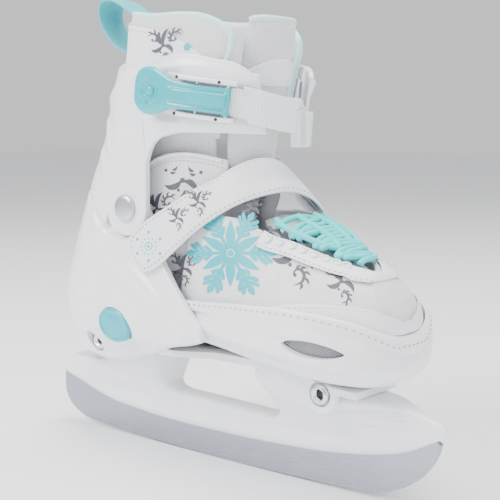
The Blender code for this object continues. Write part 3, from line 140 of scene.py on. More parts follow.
def bump(x: Array, z: Array, path: Sequence[Sequence[float]], width: float,
         height: float) -> Array:
    """Bell-shaped ridge, or groove where height is negative: height * exp(-(d / width)^2)."""
    return height * np.exp(-(nearest(x, z, path) / width) ** 2)


def folds(x: Array, z: Array, rows: Sequence[tuple], made: Array = 0.0) -> Array:
    """Ridges and grooves of a table of (path, width, height), added to a relief."""
    for row in rows:
        made = made + bump(x, z, *row)
    return made


# ---- the boot's forms ----------------------------------------------------------------
ANKLE = (-36.2, 132.1)
BUTTON = (-46.0, 71.0)
BUTTON_HALF, BUTTON_TILT = (11.5, 8.6), -14.0
BUCKLE_SPOT, BUCKLE_TILT = (27.0, 184.5), 9.0
LOBE, LOBE_SEAM = 14.0, 16.4                        # round of the cuff at the rivet
POST_EDGE, CUFF_POST = -21.0, -22.2                 # where shell and cuff turn upwards
TOE_PLAN, TOE_BILGE, UPPER_ROUND = 2 / 2.4, 2 / 2.9, 2 / 2.1
BOLT_REAR = (-73.5, 57.2)
BOLT_FRONT = (74.1, 50.2)
COLUMN_BACK, COLUMN_FRONT = -88.0, 46.0
TOE_REAR, TOE_ARC, TOE_TIP, TOE_WIDE = -12.0, 60.0, 112.5, 46.0
TOE_WALL, UPPER_INSET = 2.6, 2.3
SHAFT_BACK = [(46, -99), (50, -101), (60, -104.5), (72, -106), (84, -105.5), (94, -103),
              (105, -99), (131, -88.5), (146, -82), (160, -75), (171, -70.5), (190, -64),
              (205, -58), (232, -55)]
SHAFT_FRONT = [(46, 300), (98, 300), (118, 60), (140, 46), (232, 46)]
SHAFT_WIDE = [(46, 20.5), (50, 22), (55, 25), (60, 28.5), (66, 32.5), (75, 35.8), (84, 36.8),
              (95, 37.2), (118, 37.5), (150, 37), (165, 37.5), (185, 39), (232, 39)]
SHAFT_CENTRE = [(46, -58), (84, -57), (105, -52), (131, -44), (146, -40), (171, -27),
                (200, -20), (232, -18)]
SHAFT_FLARE = [(46, 0.085), (95, 0.085), (118, 0.0), (232, 0.0)]
TOP_LINE = [(-20, 168), (0, 163), (20, 156), (30, 150), (37, 143), (43, 135.5),
            (48, 129.5), (60, 123), (76, 114.5), (91, 106.5), (98, 102), (103, 97.5),
            (108, 89)]
LEVEL_LINE = [(-20, 85), (60, 83), (85, 81.5), (108, 79)]
TOE_FLOOR = [(TOE_REAR, 65.2), (8, 65.0), (30, 62.4), (60, 58.4), (85, 54.4), (100, 52.0),
             (112, 51.6)]
TOE_RIM = [(TOE_REAR, 89), (16, 90), (46, 92), (75, 92.6), (97, 89), (105, 85),
           (109.5, 80.5), (112, 77)]
HEEL_TOP = [(-106, 146), (-50, 147), (-30, 142), (-20, 122), (-8.5, 106), (2.8, 94.6),
            (12.6, 84.9), (20, 78.5)]
HEEL_LOW = [(-106, 47), (-90, 47.8), (-66, 48.4), (-53.7, 49.8), (-35.3, 54.4),
            (-17.5, 60.6), (-5, 64.6), (12, 68.4), (20, 71)]
CUFF_LOW_REAR = [(-90, 147.5), (-75, 141), (-60, 130.5), (-50.2, 122)]
CUFF_LOW_FRONT = [(-22.2, 154), (-19.5, 160.5), (-15.9, 165.2), (-5.6, 169.2), (14, 170.2),
                  (46, 169)]
CUFF_TOP = [(-60, 210), (-48, 203), (-30, 202), (-12.7, 206), (7, 207.6), (21, 205),
            (32, 202), (36, 198.5), (40, 190)]
TONGUE_PATH = [(94, 100.2), (88, 103.8), (76, 111), (60, 119.2), (50, 123.4), (42, 127.8),
               (33.5, 135.5), (27.5, 145.5), (25, 156), (26, 168), (29.5, 183), (34.5, 202),
               (38, 224.5)]
RAIL_LOW = [(-129.5, 29.4), (-120.6, 27.6), (-108.7, 24.6), (-95, 21.2), (-81.7, 18.6),
            (-62.3, 17), (-43.6, 15.8), (0, 15.3), (45, 16.5), (68.6, 18), (90.4, 20.8),
            (109.5, 25.4), (129.5, 35.4)]
THROAT = [(-20, 60), (36, 44), (48, 34), (60, 28), (76, 22), (90, 14), (97, 5), (100, 1)]
THROAT_END = 99.0
COLLAR_TOP = [(-55, 231), (-40, 229.5), (-20, 227), (0, 226.5), (14, 224.5), (24, 219),
              (30, 211)]
QUARTER_LOW = [(-100, 96), (-20, 96), (0, 106), (15, 118), (32, 134)]
QUARTER_TOP = [(-80, 143), (-45, 145), (-22, 157.5), (-4, 160), (16, 157.5), (32, 153)]
LINER_FRONT = [(70, -6), (100, -4), (120, 5), (150, 12), (165, 13), (185, 20), (200, 24),
               (210, 28), (232, 30)]
QUARTER_FRONT = [(90, 10), (130, 20), (160, 22)]
INSTEP_UPPER = [(-35, -41.2, 114.4), (-19.6, -40.8, 126.4), (-5, -37.4, 135.6),
                (5.3, -33, 142.7), (15, -26.5, 148.6), (23, -21, 154.6), (28.5, -13, 158),
                (31.4, -3, 158.4), (30, 9, 155), (26, 21, 147.5), (21, 31.5, 137)]
INSTEP_LOWER = [(-21.5, -43.4, 100.4), (-10, -43, 104.6), (3.4, -39.6, 116.2),
                (12.5, -34.8, 125), (24, -29.6, 133.5), (33, -23, 138.6), (41, -13, 142),
                (46, -2, 142.4), (48, 11, 138), (46, 24, 129.5), (40, 34, 120)]


def shaft_half(x: Array, z: Array) -> tuple[Array, Array, Array]:
    """Half width of the shaft's outer face and its outward direction (x, y) there.

    The plan is a superellipse, |x/a|^n + |y/b|^n = 1, rounder behind the widest place
    than in front of it, and it widens a little to the toe near the sole.
    """
    centre = smooth(z, SHAFT_CENTRE)
    rear = x <= centre
    reach = np.where(rear, centre - smooth(z, SHAFT_BACK), smooth(z, SHAFT_FRONT) - centre)
    n = np.where(rear, 2.3, 2.8)
    share = np.clip(np.abs(x - centre) / reach, 0, 1)
    wide = smooth(z, SHAFT_WIDE)
    side = (1 - share ** n) ** (1 / n)
    along = np.where(rear, -1, 1) * share ** (n - 1) / reach
    sideways = side ** (n - 1) / wide
    size = np.hypot(along, sideways)
    half = wide * side + smooth(z, SHAFT_FLARE) * np.maximum(x - centre, 0)
    return half, along / size, sideways / size


def shaft(c: Array, z: Array, off: Array = 0.0, front: Array = COLUMN_FRONT) -> Array:
    """Point of the shaft, off outside its outer face.

    Args:
        c: 0 at the middle of the heel, 1 at the front outside and -1 at the front inside.
        z: height.
        off: distance outside the face.
        front: x of the foremost column.
    """
    c, z, off = spread(c, z, off)
    base = COLUMN_BACK + (front - COLUMN_BACK) * (1 - np.cos(math.pi * np.abs(c))) / 2
    near_back = 1 - step((base - COLUMN_BACK) / 48)
    x = base + (smooth(z, SHAFT_BACK) - COLUMN_BACK) * near_back
    half, ahead, sideways = shaft_half(x, z)
    side = -np.sign(c)
    return np.stack([x + off * ahead, side * (half + off * sideways), z], -1)


def column_at(x: Array, front: Array = COLUMN_FRONT) -> Array:
    """Column c of the shaft's grid that stands at x, in front of the heel's round."""
    share = (np.asarray(x, float) - COLUMN_BACK) / (front - COLUMN_BACK)
    return np.arccos(np.clip(1 - 2 * share, -1, 1)) / math.pi


def edge_height(c: Array, off: Array, edge: Curve, front: Array = COLUMN_FRONT) -> Array:
    """Height at which each column meets the edge z = edge(x), found by halving."""
    c = np.asarray(c, float)
    a, b = np.full(c.shape, 44.0), np.full(c.shape, 235.0)
    for _ in range(40):
        z = (a + b) / 2
        over = z > edge(shaft(c, z, off, front)[..., 0])
        a, b = np.where(over, a, z), np.where(over, z, b)
    return (a + b) / 2


def toe_half(x: Array) -> Array:
    """Half width of the toe shell behind the round of the toe."""
    tucked = shaft_half(x, 80.0)[0] - 3.6
    return tucked + (TOE_WIDE - tucked) * step((x - 22) / 40)


def toe_cup(u: Array, v: Array, off: Array = 0.0) -> Array:
    """Point of the toe shell: |u| 0 at the tip, 1 where the round starts, 2 at the rear;
    v 0 on the floor's middle line and 1 at the rim.  The plan's round is a superellipse
    of power 2.4 and the bilge one of power 2.9."""
    u, v, off = spread(u, v, off)
    angle = np.clip(np.abs(u), 0, 1) * math.pi / 2
    back = np.clip(np.abs(u) - 1, 0, 1)
    x = np.where(back > 0, TOE_ARC + (TOE_REAR - TOE_ARC) * back,
                 TOE_ARC + (TOE_TIP - TOE_ARC + off) * np.cos(angle) ** TOE_PLAN)
    y = np.where(back > 0, toe_half(x) + off, (TOE_WIDE + off) * np.sin(angle) ** TOE_PLAN)
    y = -np.sign(u) * y
    spine = np.minimum(x, TOE_ARC)
    turn = np.clip(v / 0.8, 0, 1) * math.pi / 2
    reach = np.sin(turn) ** TOE_BILGE
    rise = np.where(v < 0.8, 0.72 * (1 - np.cos(turn) ** TOE_BILGE),
                    0.72 + 0.28 * (v - 0.8) / 0.2)
    lean = 1 - 0.03 * np.clip((rise - 0.5) / 0.5, 0, 1) * step((x - 20) / 20)
    px = spine + (x - spine) * reach * lean
    floor = smooth(px, TOE_FLOOR) - off
    rim = smooth(x, TOE_RIM)
    return np.stack([px, y * reach * lean, floor + (rim - floor) * rise], -1)


def foot(s: Array, theta: Array, off: Array = 0.0) -> Array:
    """Point of the textile upper: s is x up to TOE_ARC and then degrees round the toe,
    theta 0 on top and 90 degrees at the outer side."""
    s, theta, off = spread(s, theta, off)
    angle = np.radians(np.clip(s - TOE_ARC, 0, 90))
    tip = TOE_TIP - TOE_WALL - UPPER_INSET
    x = np.where(s <= TOE_ARC, s, TOE_ARC + (tip - TOE_ARC + off) * np.sin(angle))
    fade = np.cos(angle) ** TOE_PLAN
    wide = (toe_half(np.minimum(x, TOE_ARC)) - TOE_WALL - UPPER_INSET + off) * fade
    level = smooth(x, LEVEL_LINE)
    crown = smooth(x, TOP_LINE) - level + off
    dome = (smooth(TOE_ARC, TOP_LINE) - smooth(TOE_ARC, LEVEL_LINE) + off) * fade ** 0.8
    upper = np.where(s <= TOE_ARC, crown, np.clip(crown, 0.001, dome))
    y = -wide * power(np.sin(theta), UPPER_ROUND)
    z = level + (np.where(np.abs(theta) < math.pi / 2, upper, 14.0)
                 * power(np.cos(theta), UPPER_ROUND))
    return np.stack([x, y, z], -1)


def tongue(t: Array, psi: Array, off: Array = 0.0) -> Array:
    """Point of the tongue: t from toe to top, psi the angle across a radius of 25."""
    rows = np.array(TONGUE_PATH, float)
    run = np.concatenate([[0], np.cumsum(np.hypot(*np.diff(rows, axis=0).T))])
    xs, zs = np.stack([run, rows[:, 0]], 1), np.stack([run, rows[:, 1]], 1)
    along = np.asarray(t, float) * run[-1]
    ahead, behind = np.minimum(along + 0.5, run[-1]), np.maximum(along - 0.5, 0)
    dx = smooth(ahead, xs) - smooth(behind, xs)
    dz = smooth(ahead, zs) - smooth(behind, zs)
    size = np.hypot(dx, dz)
    radius = 25.0 + np.asarray(off, float)
    drop = off - radius * (1 - np.cos(psi))
    return np.stack(np.broadcast_arrays(smooth(along, xs) + dz / size * drop,
                                        -radius * np.sin(psi),
                                        smooth(along, zs) - dx / size * drop), -1)


def instep(t: Array, w: Array, off: Array = 0.0) -> Array:
    """Point of the instep strap: t along it from its free end, w across from -1 to 1."""
    steps = np.linspace(0, 1, len(INSTEP_UPPER))
    edge = lambda table, at: np.stack([smooth(at, [(k, p[i]) for k, p in zip(steps, table)])
                                       for i in range(3)], -1)
    t, w, off = spread(t, w, off)
    place = lambda at: (edge(INSTEP_UPPER, at) * (1 - w[..., None]) / 2
                        + edge(INSTEP_LOWER, at) * (1 + w[..., None]) / 2)
    run = place(np.minimum(t + 0.01, 1)) - place(np.maximum(t - 0.01, 0))
    out = np.cross(edge(INSTEP_LOWER, t) - edge(INSTEP_UPPER, t), run)
    return place(t) + off[..., None] * out / np.linalg.norm(out, axis=-1, keepdims=True)


def buckle(s: Array, t: Array, off: Array) -> Array:
    """Point of the buckle's own frame: s to the front, t up, off outside the cuff."""
    s, t, off = spread(s, t, off)
    tilt = math.radians(BUCKLE_TILT)
    x = BUCKLE_SPOT[0] + s * math.cos(tilt) + t * math.sin(tilt)
    z = BUCKLE_SPOT[1] - s * math.sin(tilt) + t * math.cos(tilt)
    half, ahead, sideways = shaft_half(x, z)
    return np.stack([x + off * ahead, -(half + off * sideways), z], -1)


def cuff_low(x: Array) -> Array:
    """Lower edge of the cuff: rear, round lobe at the rivet, post and band."""
    reach = np.clip(LOBE ** 2 - (x - ANKLE[0]) ** 2, 0, None)
    return np.where(x > CUFF_POST, smooth(x, CUFF_LOW_FRONT),
                    np.where(x > ANKLE[0] - LOBE, ANKLE[1] - np.sqrt(reach),
                             smooth(x, CUFF_LOW_REAR)))


def tuck_line(x: Array) -> Array:
    """Line where the heel shell steps inwards, just outside the cuff's lower edge."""
    reach = np.clip(LOBE_SEAM ** 2 - (x - ANKLE[0]) ** 2, 0, None)
    lobe = ANKLE[1] - np.sqrt(reach)
    rear = smooth(x, CUFF_LOW_REAR) - 2.4
    return np.where(x > ANKLE[0] - LOBE_SEAM, np.minimum(lobe, rear), rear)


def mirrored(values: Array) -> Array:
    """Values from 0 up, with their negatives in reverse before them."""
    values = np.asarray(values, float)
    return np.concatenate([-values[::-1], values[values > 0]])


def inner_side(place: Place) -> Place:
    """The same surface on the other side of the boot's middle plane."""
    return lambda a, b, off: place(a, b, off) * np.array([1.0, -1.0, 1.0])


def liner_off(z: Array) -> Array:
    """Outer face of the liner: inside the quarter, then filling the cuff above it."""
    return -12.5 + 1.6 * step((z - 163) / 10) + 6.9 * step((z - 174) / 12)


# ---- meshes --------------------------------------------------------------------------
def lengths(points: Array) -> Array:
    """UV of a grid in metres: mean length run along its rows, and along its columns."""
    ways = []
    for axis in (0, 1):
        run = np.linalg.norm(np.diff(points, axis=axis), axis=-1).mean(1 - axis)
        ways.append(np.concatenate([[0], np.cumsum(run)]) * MM)
    return np.stack(np.meshgrid(*ways, indexing="ij"), -1)


def grids(name: str, skins: Iterable[Array], finish: "Finish", body: str,
          wrap: bool = True, closed: bool = True, spin: bool = False,
          stands_for: str = "") -> Piece:
    """One object of one or more grids of points, in millimetres.

    Args:
        skins: arrays of shape (rows, columns, 3).
        finish: what it is made of.
        body: the CAD body it rides on.
        wrap: the columns run round and meet.
        closed: the whole is closed, so its volume says which way its faces look.
        spin: the rows run round and meet too.
        stands_for: the CAD node that it replaces, if any.
    """
    verts, faces, uvs, base = [], [], [], 0
    for points in skins:
        rows, columns = points.shape[:2]
        i, j = np.meshgrid(np.arange(rows if spin else rows - 1),
                           np.arange(columns if wrap else columns - 1), indexing="ij")
        k, m = (i + 1) % rows, (j + 1) % columns
        corners = [(i, j), (k, j), (k, m), (i, m)]
        faces.append(np.stack([a * columns + b for a, b in corners], -1).reshape(-1, 4) + base)
        grown = np.concatenate([points, points[:1]], 0)
        grown = np.concatenate([grown, grown[:, :1]], 1)
        sheet = lengths(grown)
        uvs.append(np.stack([sheet[np.where(k < i, rows, k) if n in (1, 2) else i,
                                   np.where(m < j, columns, m) if n in (2, 3) else j]
                             for n in range(4)], -2).reshape(-1, 4, 2))
        verts.append(points.reshape(-1, 3) * MM)
        base += rows * columns
    v, f, uv = np.concatenate(verts), np.concatenate(faces), np.concatenate(uvs)
    if closed:
        p = v - v.mean(0)
        a, b, c, d = (p[f[:, n]] for n in range(4))
        volume = ((a * np.cross(b, c)).sum() + (a * np.cross(c, d)).sum())
        if volume < 0:
            f, uv = f[:, ::-1], uv[:, ::-1]
    mesh = bpy.data.meshes.new(name)
    mesh.from_pydata(v.tolist(), [], f.tolist())
    layer = mesh.uv_layers.new(name="surface")
    layer.data.foreach_set("uv", np.ascontiguousarray(uv, np.float32).ravel())
    weld(mesh)
    mesh.polygons.foreach_set("use_smooth", np.ones(len(mesh.polygons), bool))
    made = bpy.data.objects.new(name, mesh)
    bpy.context.scene.collection.objects.link(made)
    mesh.materials.append(finish.material())
    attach(made, body)
    if stands_for:
        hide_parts(stands_for)
    LOG.info("%s: %d faces", name, len(mesh.polygons))
    return made


def capped(body: Array) -> Array:
    """A tube's grid with both ends drawn in to the middle of their rings."""
    ends = [ring * 0 + ring.mean(1, keepdims=True) for ring in (body[:1], body[-1:])]
    return np.concatenate([ends[0], body, ends[1]])


def weld(mesh: bpy.types.Mesh) -> None:
    """Merges points that share a place, which closes seams and poles."""
    bm = bmesh.new()
    bm.from_mesh(mesh)
    bmesh.ops.remove_doubles(bm, verts=bm.verts, dist=2e-6)
    bm.to_mesh(mesh)
    bm.free()


def wall(place: Place, u: Array, low: Array, high: Array, thick: float,
         radius: float = 0.9, rows: int = 40, per_mm: float = 1.0, u_mm: float = 60.0,
         relief: Optional[Relief] = None,
         shift: Optional[Relief] = None,
         loop: bool = True) -> Array:
    """Grid of a wall with rounded rims, closed round its section.

    The section runs up the outer face, over the top edge in two quarter rounds, down
    the inner face and round the bottom edge.  At both ends three more rings shrink it
    to the wall's middle, as the cosine of a quarter turn, which rounds the end.

    Args:
        place: gives points from (u, height, off).
        u: stations along the wall.
        low: lower edge at each station.
        high: upper edge at each station.
        thick: wall thickness.
        radius: radius of the rims.
        rows: rows on each face.
        per_mm: how much of the height coordinate a millimetre is.
        u_mm: millimetres in one unit of u, for the round of the ends.
        relief: height of the outer face's ridges, by x and z.
        shift: moves both faces, by x and z.
        loop: the section closes below; without, it stays open at its start.
    """
    share = np.linspace(0, 1, rows)
    a = np.radians([15, 35, 60, 90])
    full = np.ones(rows)
    straight = radius * (1 - 2 * share) if loop else -radius * share
    parts = [(share, straight, 0 * full, np.minimum(np.minimum(share, 1 - share) * 8, 1)
              if loop else np.minimum((1 - share) * 8, 1)),
             (full[:4], -radius + radius * np.sin(a), -radius + radius * np.cos(a), 0 * a),
             (full[:4], -radius + radius * np.cos(a), radius - thick - radius * np.sin(a), 0 * a),
             (share[::-1], straight[::-1], -thick * full, 0 * full)]
    if loop:
        parts += [(0 * a, radius - radius * np.sin(a), radius - thick - radius * np.cos(a), 0 * a),
                  (0 * a, radius - radius * np.cos(a), -radius + radius * np.sin(a), 0 * a)]
    A, B, O, M = (np.concatenate(rows_of) for rows_of in zip(*parts))
    ends = np.radians([30, 60, 90])
    grow = thick / 2 / u_mm * np.sin(ends)
    stations = np.concatenate([u[0] - grow[::-1], u, u[-1] + grow])
    shrink = np.concatenate([np.cos(ends)[::-1], np.ones(len(u)), np.cos(ends)])
    low = np.concatenate([[low[0]] * 3, low, [low[-1]] * 3])
    high = np.concatenate([[high[0]] * 3, high, [high[-1]] * 3])
    h = low[:, None] + A * (high - low)[:, None] + B * per_mm
    off = np.broadcast_to(O, h.shape)
    flat = place(stations[:, None], h, off)
    if relief is not None:
        off = off + M * relief(flat[..., 0], flat[..., 2])
    off = -thick / 2 + (off + thick / 2) * shrink[:, None]
    if shift is not None:
        off = off + shift(flat[..., 0], flat[..., 2])
    return place(stations[:, None], h, off)


def pipe(points: Array, radius: float, sides: int = 10) -> Array:
    """Grid of a round tube along a line, its ends drawn in to points.

    Each ring lies in the plane square to the line; its first direction is square to the line and
    to one fixed slanting direction.
    """
    run = np.gradient(points, axis=0)
    run /= np.linalg.norm(run, axis=1, keepdims=True)
    side = np.cross(run, [0.13, 0.31, 0.94])
    side /= np.linalg.norm(side, axis=1, keepdims=True)
    other = np.cross(run, side)
    turn = circle(sides)
    ring = (np.cos(turn)[:, None] * side[:, None] + np.sin(turn)[:, None] * other[:, None])
    tube = points[:, None] + radius * ring
    caps = [points[:1, None] + 0 * tube[:1], points[-1:, None] + 0 * tube[:1]]
    return np.concatenate([caps[0], tube, caps[1]])


def even(points: Array, pitch: float) -> Array:
    """Points at equal distances along a line."""
    run = np.concatenate([[0], np.cumsum(np.linalg.norm(np.diff(points, axis=0), axis=1))])
    at = np.linspace(0, run[-1], max(int(run[-1] / pitch), 2))
    return np.stack([np.interp(at, run, points[:, k]) for k in range(3)], 1)


def stitches(name: str, place: Place, lines: Sequence[tuple[Array, Array]], finish: "Finish",
             body: str, pitch: float = 2.6, length: float = 1.7, radius: float = 0.28,
             off: float = 0.0) -> Piece:
    """Rows of thread stitches on a surface, each a small closed ellipsoid.

    Args:
        place: gives points from two coordinates and off.
        lines: the two coordinates along each row.
        pitch: distance from stitch to stitch.
        length: length of each.
        radius: half its width.
        off: height of its middle over the surface.
    """
    skins = []
    polar = np.linspace(0, math.pi, 5)[:, None]
    turn = circle(6)
    for first, second in lines:
        base, over = place(first, second, off), place(first, second, off + 0.5)
        spots, tops = even(base, pitch), even(over, pitch)
        count = min(len(spots), len(tops))
        spots, tops = spots[:count], tops[:count]
        run = np.gradient(spots, axis=0)
        run /= np.linalg.norm(run, axis=1, keepdims=True)
        up = tops - spots
        up /= np.linalg.norm(up, axis=1, keepdims=True)
        side = np.cross(run, up)
        form = (np.cos(polar)[..., None] * length / 2 * run[:, None, None]
                + (np.sin(polar) * np.cos(turn))[..., None] * radius * side[:, None, None]
                + (np.sin(polar) * np.sin(turn))[..., None] * radius * up[:, None, None])
        skins += list(spots[:, None, None] + form)
    return grids(name, skins, finish, body)


def lathe(centre: Array, axis: Array, profile: Table, sides: int = 40,
          socket: Sequence[int] = ()) -> Array:
    """Grid turned from a profile of (height, radius) round an axis.

    The rows named in socket are hexagons: r / cos(angle from the middle of a flat).
    """
    axis = np.array(axis, float) / np.linalg.norm(axis)
    side = np.cross(axis, [0.0, 0.0, 1.0])
    side /= np.linalg.norm(side)
    other = np.cross(axis, side)
    turn = circle(sides)
    rows = np.array(profile, float)
    radius = np.repeat(rows[:, 1:], sides, 1)
    flat = (turn + math.pi / 6) % (math.pi / 3) - math.pi / 6
    for row in socket:
        radius[row] = rows[row, 1] / np.cos(flat)
    ring = np.cos(turn)[:, None] * side + np.sin(turn)[:, None] * other
    return np.array(centre, float) + rows[:, :1, None] * axis + radius[..., None] * ring


# ---- finishes ------------------------------------------------------------------------
class Pattern(Enum):
    """Fine structure of a finish."""
    MOULDED = "moulded"
    WEAVE = "weave"
    RIBBED = "ribbed"
    MESH = "mesh"
    GRAIN = "grain"
    BRAID = "braid"
    BRUSHED = "brushed"


class Wiring:
    """Small helper that adds and links shader nodes in one node tree."""

    def __init__(self, tree: bpy.types.NodeTree) -> None:
        """Keeps the tree."""
        self.tree = tree

    def add(self, kind: str, **values: object) -> Node:
        """A new node, with some of its settings."""
        node = self.tree.nodes.new(kind)
        for key, value in values.items():
            setattr(node, key, value)
        return node

    def feed(self, socket: Socket, value: object) -> None:
        """Links an output to a socket, or sets the socket's own value."""
        if isinstance(value, Socket):
            self.tree.links.new(value, socket)
        else:
            socket.default_value = value

    def maths(self, operation: str, *values: object) -> Socket:
        """Output of a Math node on the values."""
        node = self.add("ShaderNodeMath", operation=operation)
        for socket, value in zip(node.inputs, values):
            self.feed(socket, value)
        return node.outputs[0]

    def times(self, value: object, factor: object) -> Socket:
        """Output of a Math node that multiplies."""
        return self.maths("MULTIPLY", value, factor)

    def split(self, vector: Socket) -> list[Socket]:
        """The vector's x, y and z."""
        node = self.add("ShaderNodeSeparateXYZ")
        self.feed(node.inputs[0], vector)
        return list(node.outputs)

    def sine(self, way: object, scale: object) -> Socket:
        """Sine wave along a coordinate, scale being its angle in a metre."""
        return self.maths("SINE", self.times(way, scale))

    def noise(self, vector: Socket, scale: object, detail: float = 3.0) -> Socket:
        """Output of a Noise node."""
        node = self.add("ShaderNodeTexNoise")
        node.inputs["Detail"].default_value = detail
        self.feed(node.inputs["Vector"], vector)
        self.feed(node.inputs["Scale"], scale)
        return node.outputs["Fac"]


def effect(name: str, build: Callable[[Wiring, Node, Node], None],
           inputs: Sequence[tuple[str, str]]) -> bpy.types.NodeTree:
    """Shader node group with the outputs Height and Mask, built once.

    Args:
        name: the group's name.
        build: wires it, given the wiring and its input and output nodes.
        inputs: (name, socket type) of each input.
    """
    made = bpy.data.node_groups.get(name)
    if made:
        return made
    made = bpy.data.node_groups.new(name, "ShaderNodeTree")
    for word, kind in inputs:
        made.interface.new_socket(word, in_out="INPUT", socket_type=kind)
    for word in ("Height", "Mask"):
        made.interface.new_socket(word, in_out="OUTPUT", socket_type="NodeSocketFloat")
    wiring = Wiring(made)
    build(wiring, wiring.add("NodeGroupInput"), wiring.add("NodeGroupOutput"))
    return made


def give(w: Wiring, result: Node, height: object, mask: object) -> None:
    """Links the two values that a group puts out."""
    w.feed(result.inputs["Height"], height)
    w.feed(result.inputs["Mask"], mask)


def wire_threads(w: Wiring, given: Node, result: Node) -> None:
    """Plain weave: a thread's height is the size of a sine along one way or the other,
    picked by the sign of the two sines' product, as warp and weft take turns on top."""
    place, scale = given.outputs["Place"], given.outputs["Scale"]
    waves = [w.sine(way, scale) for way in w.split(place)[:2]]
    over = w.maths("GREATER_THAN", w.times(*waves), 0.0)
    sizes = [w.maths("ABSOLUTE", wave) for wave in waves]
    height = w.maths("ADD", w.times(sizes[0], over),
                     w.times(sizes[1], w.maths("SUBTRACT", 1.0, over)))
    blotch = w.noise(place, w.times(scale, 0.02))
    give(w, result, height, w.times(height, w.maths("ADD", blotch, 0.4)))


def wire_ribs(w: Wiring, given: Node, result: Node) -> None:
    """Knitted ribs: round rows along one way with small bars across them."""
    along, around, _ = w.split(given.outputs["Place"])
    scale = given.outputs["Scale"]
    rows = w.maths("ABSOLUTE", w.sine(along, scale))
    bars = w.sine(around, w.times(scale, 2.6))
    give(w, result, w.maths("ADD", rows, w.times(bars, 0.22)), rows)


def slanting(w: Wiring, given: Node) -> list[Socket]:
    """Two sine waves that cross the surface at a slant, one each way."""
    along, around, _ = w.split(given.outputs["Place"])
    return [w.sine(w.maths(turn, along, around), given.outputs["Scale"])
            for turn in ("ADD", "SUBTRACT")]


def wire_holes(w: Wiring, given: Node, result: Node) -> None:
    """Open mesh: the product of two slanting sines gives round holes in rows."""
    height = w.maths("ABSOLUTE", w.times(*slanting(w, given)))
    give(w, result, height, w.maths("SUBTRACT", 1.0, height))


def wire_grain(w: Wiring, given: Node, result: Node) -> None:
    """Leather grain: the distance to the edges of rounded cells, over soft unevenness."""
    place, scale = given.outputs["Place"], given.outputs["Scale"]
    cells = w.add("ShaderNodeTexVoronoi", feature="DISTANCE_TO_EDGE")
    w.feed(cells.inputs["Vector"], place)
    w.feed(cells.inputs["Scale"], scale)
    height = w.maths("MINIMUM", w.times(cells.outputs["Distance"], 3.0), 1.0)
    give(w, result, height, w.noise(place, w.times(scale, 0.06)))


def wire_braid(w: Wiring, given: Node, result: Node) -> None:
    """Round braid: two sets of slanting strands whose sines take turns on top."""
    height = w.maths("MAXIMUM", *(w.maths("ABSOLUTE", wave) for wave in slanting(w, given)))
    give(w, result, height, height)


def wire_moulded(w: Wiring, given: Node, result: Node) -> None:
    """Moulded plastic: very fine texture on slow waves, and faint flow marks in colour."""
    place, scale = given.outputs["Place"], given.outputs["Scale"]
    fine = w.noise(place, w.times(scale, 30.0), 2.0)
    slow = w.noise(place, scale, 4.0)
    give(w, result, w.maths("ADD", w.times(fine, 0.25), slow), slow)


def wire_brushed(w: Wiring, given: Node, result: Node) -> None:
    """Ground steel: noise drawn out along the length, mixed with broad soft patches."""
    place, scale = given.outputs["Place"], given.outputs["Scale"]
    stretch = w.add("ShaderNodeVectorMath", operation="MULTIPLY")
    w.feed(stretch.inputs[0], place)
    stretch.inputs[1].default_value = (0.04, 1.0, 1.0)
    lines = w.noise(stretch.outputs[0], w.times(scale, 12.0), 6.0)
    broad = w.noise(place, w.times(scale, 0.1))
    give(w, result, lines, w.maths("ADD", w.times(lines, 0.6), w.times(broad, 0.4)))


WIRERS = {Pattern.MOULDED: wire_moulded, Pattern.WEAVE: wire_threads,
          Pattern.RIBBED: wire_ribs, Pattern.MESH: wire_holes, Pattern.GRAIN: wire_grain,
          Pattern.BRAID: wire_braid, Pattern.BRUSHED: wire_brushed}
ON_SURFACE = {Pattern.WEAVE, Pattern.RIBBED, Pattern.MESH, Pattern.BRAID}


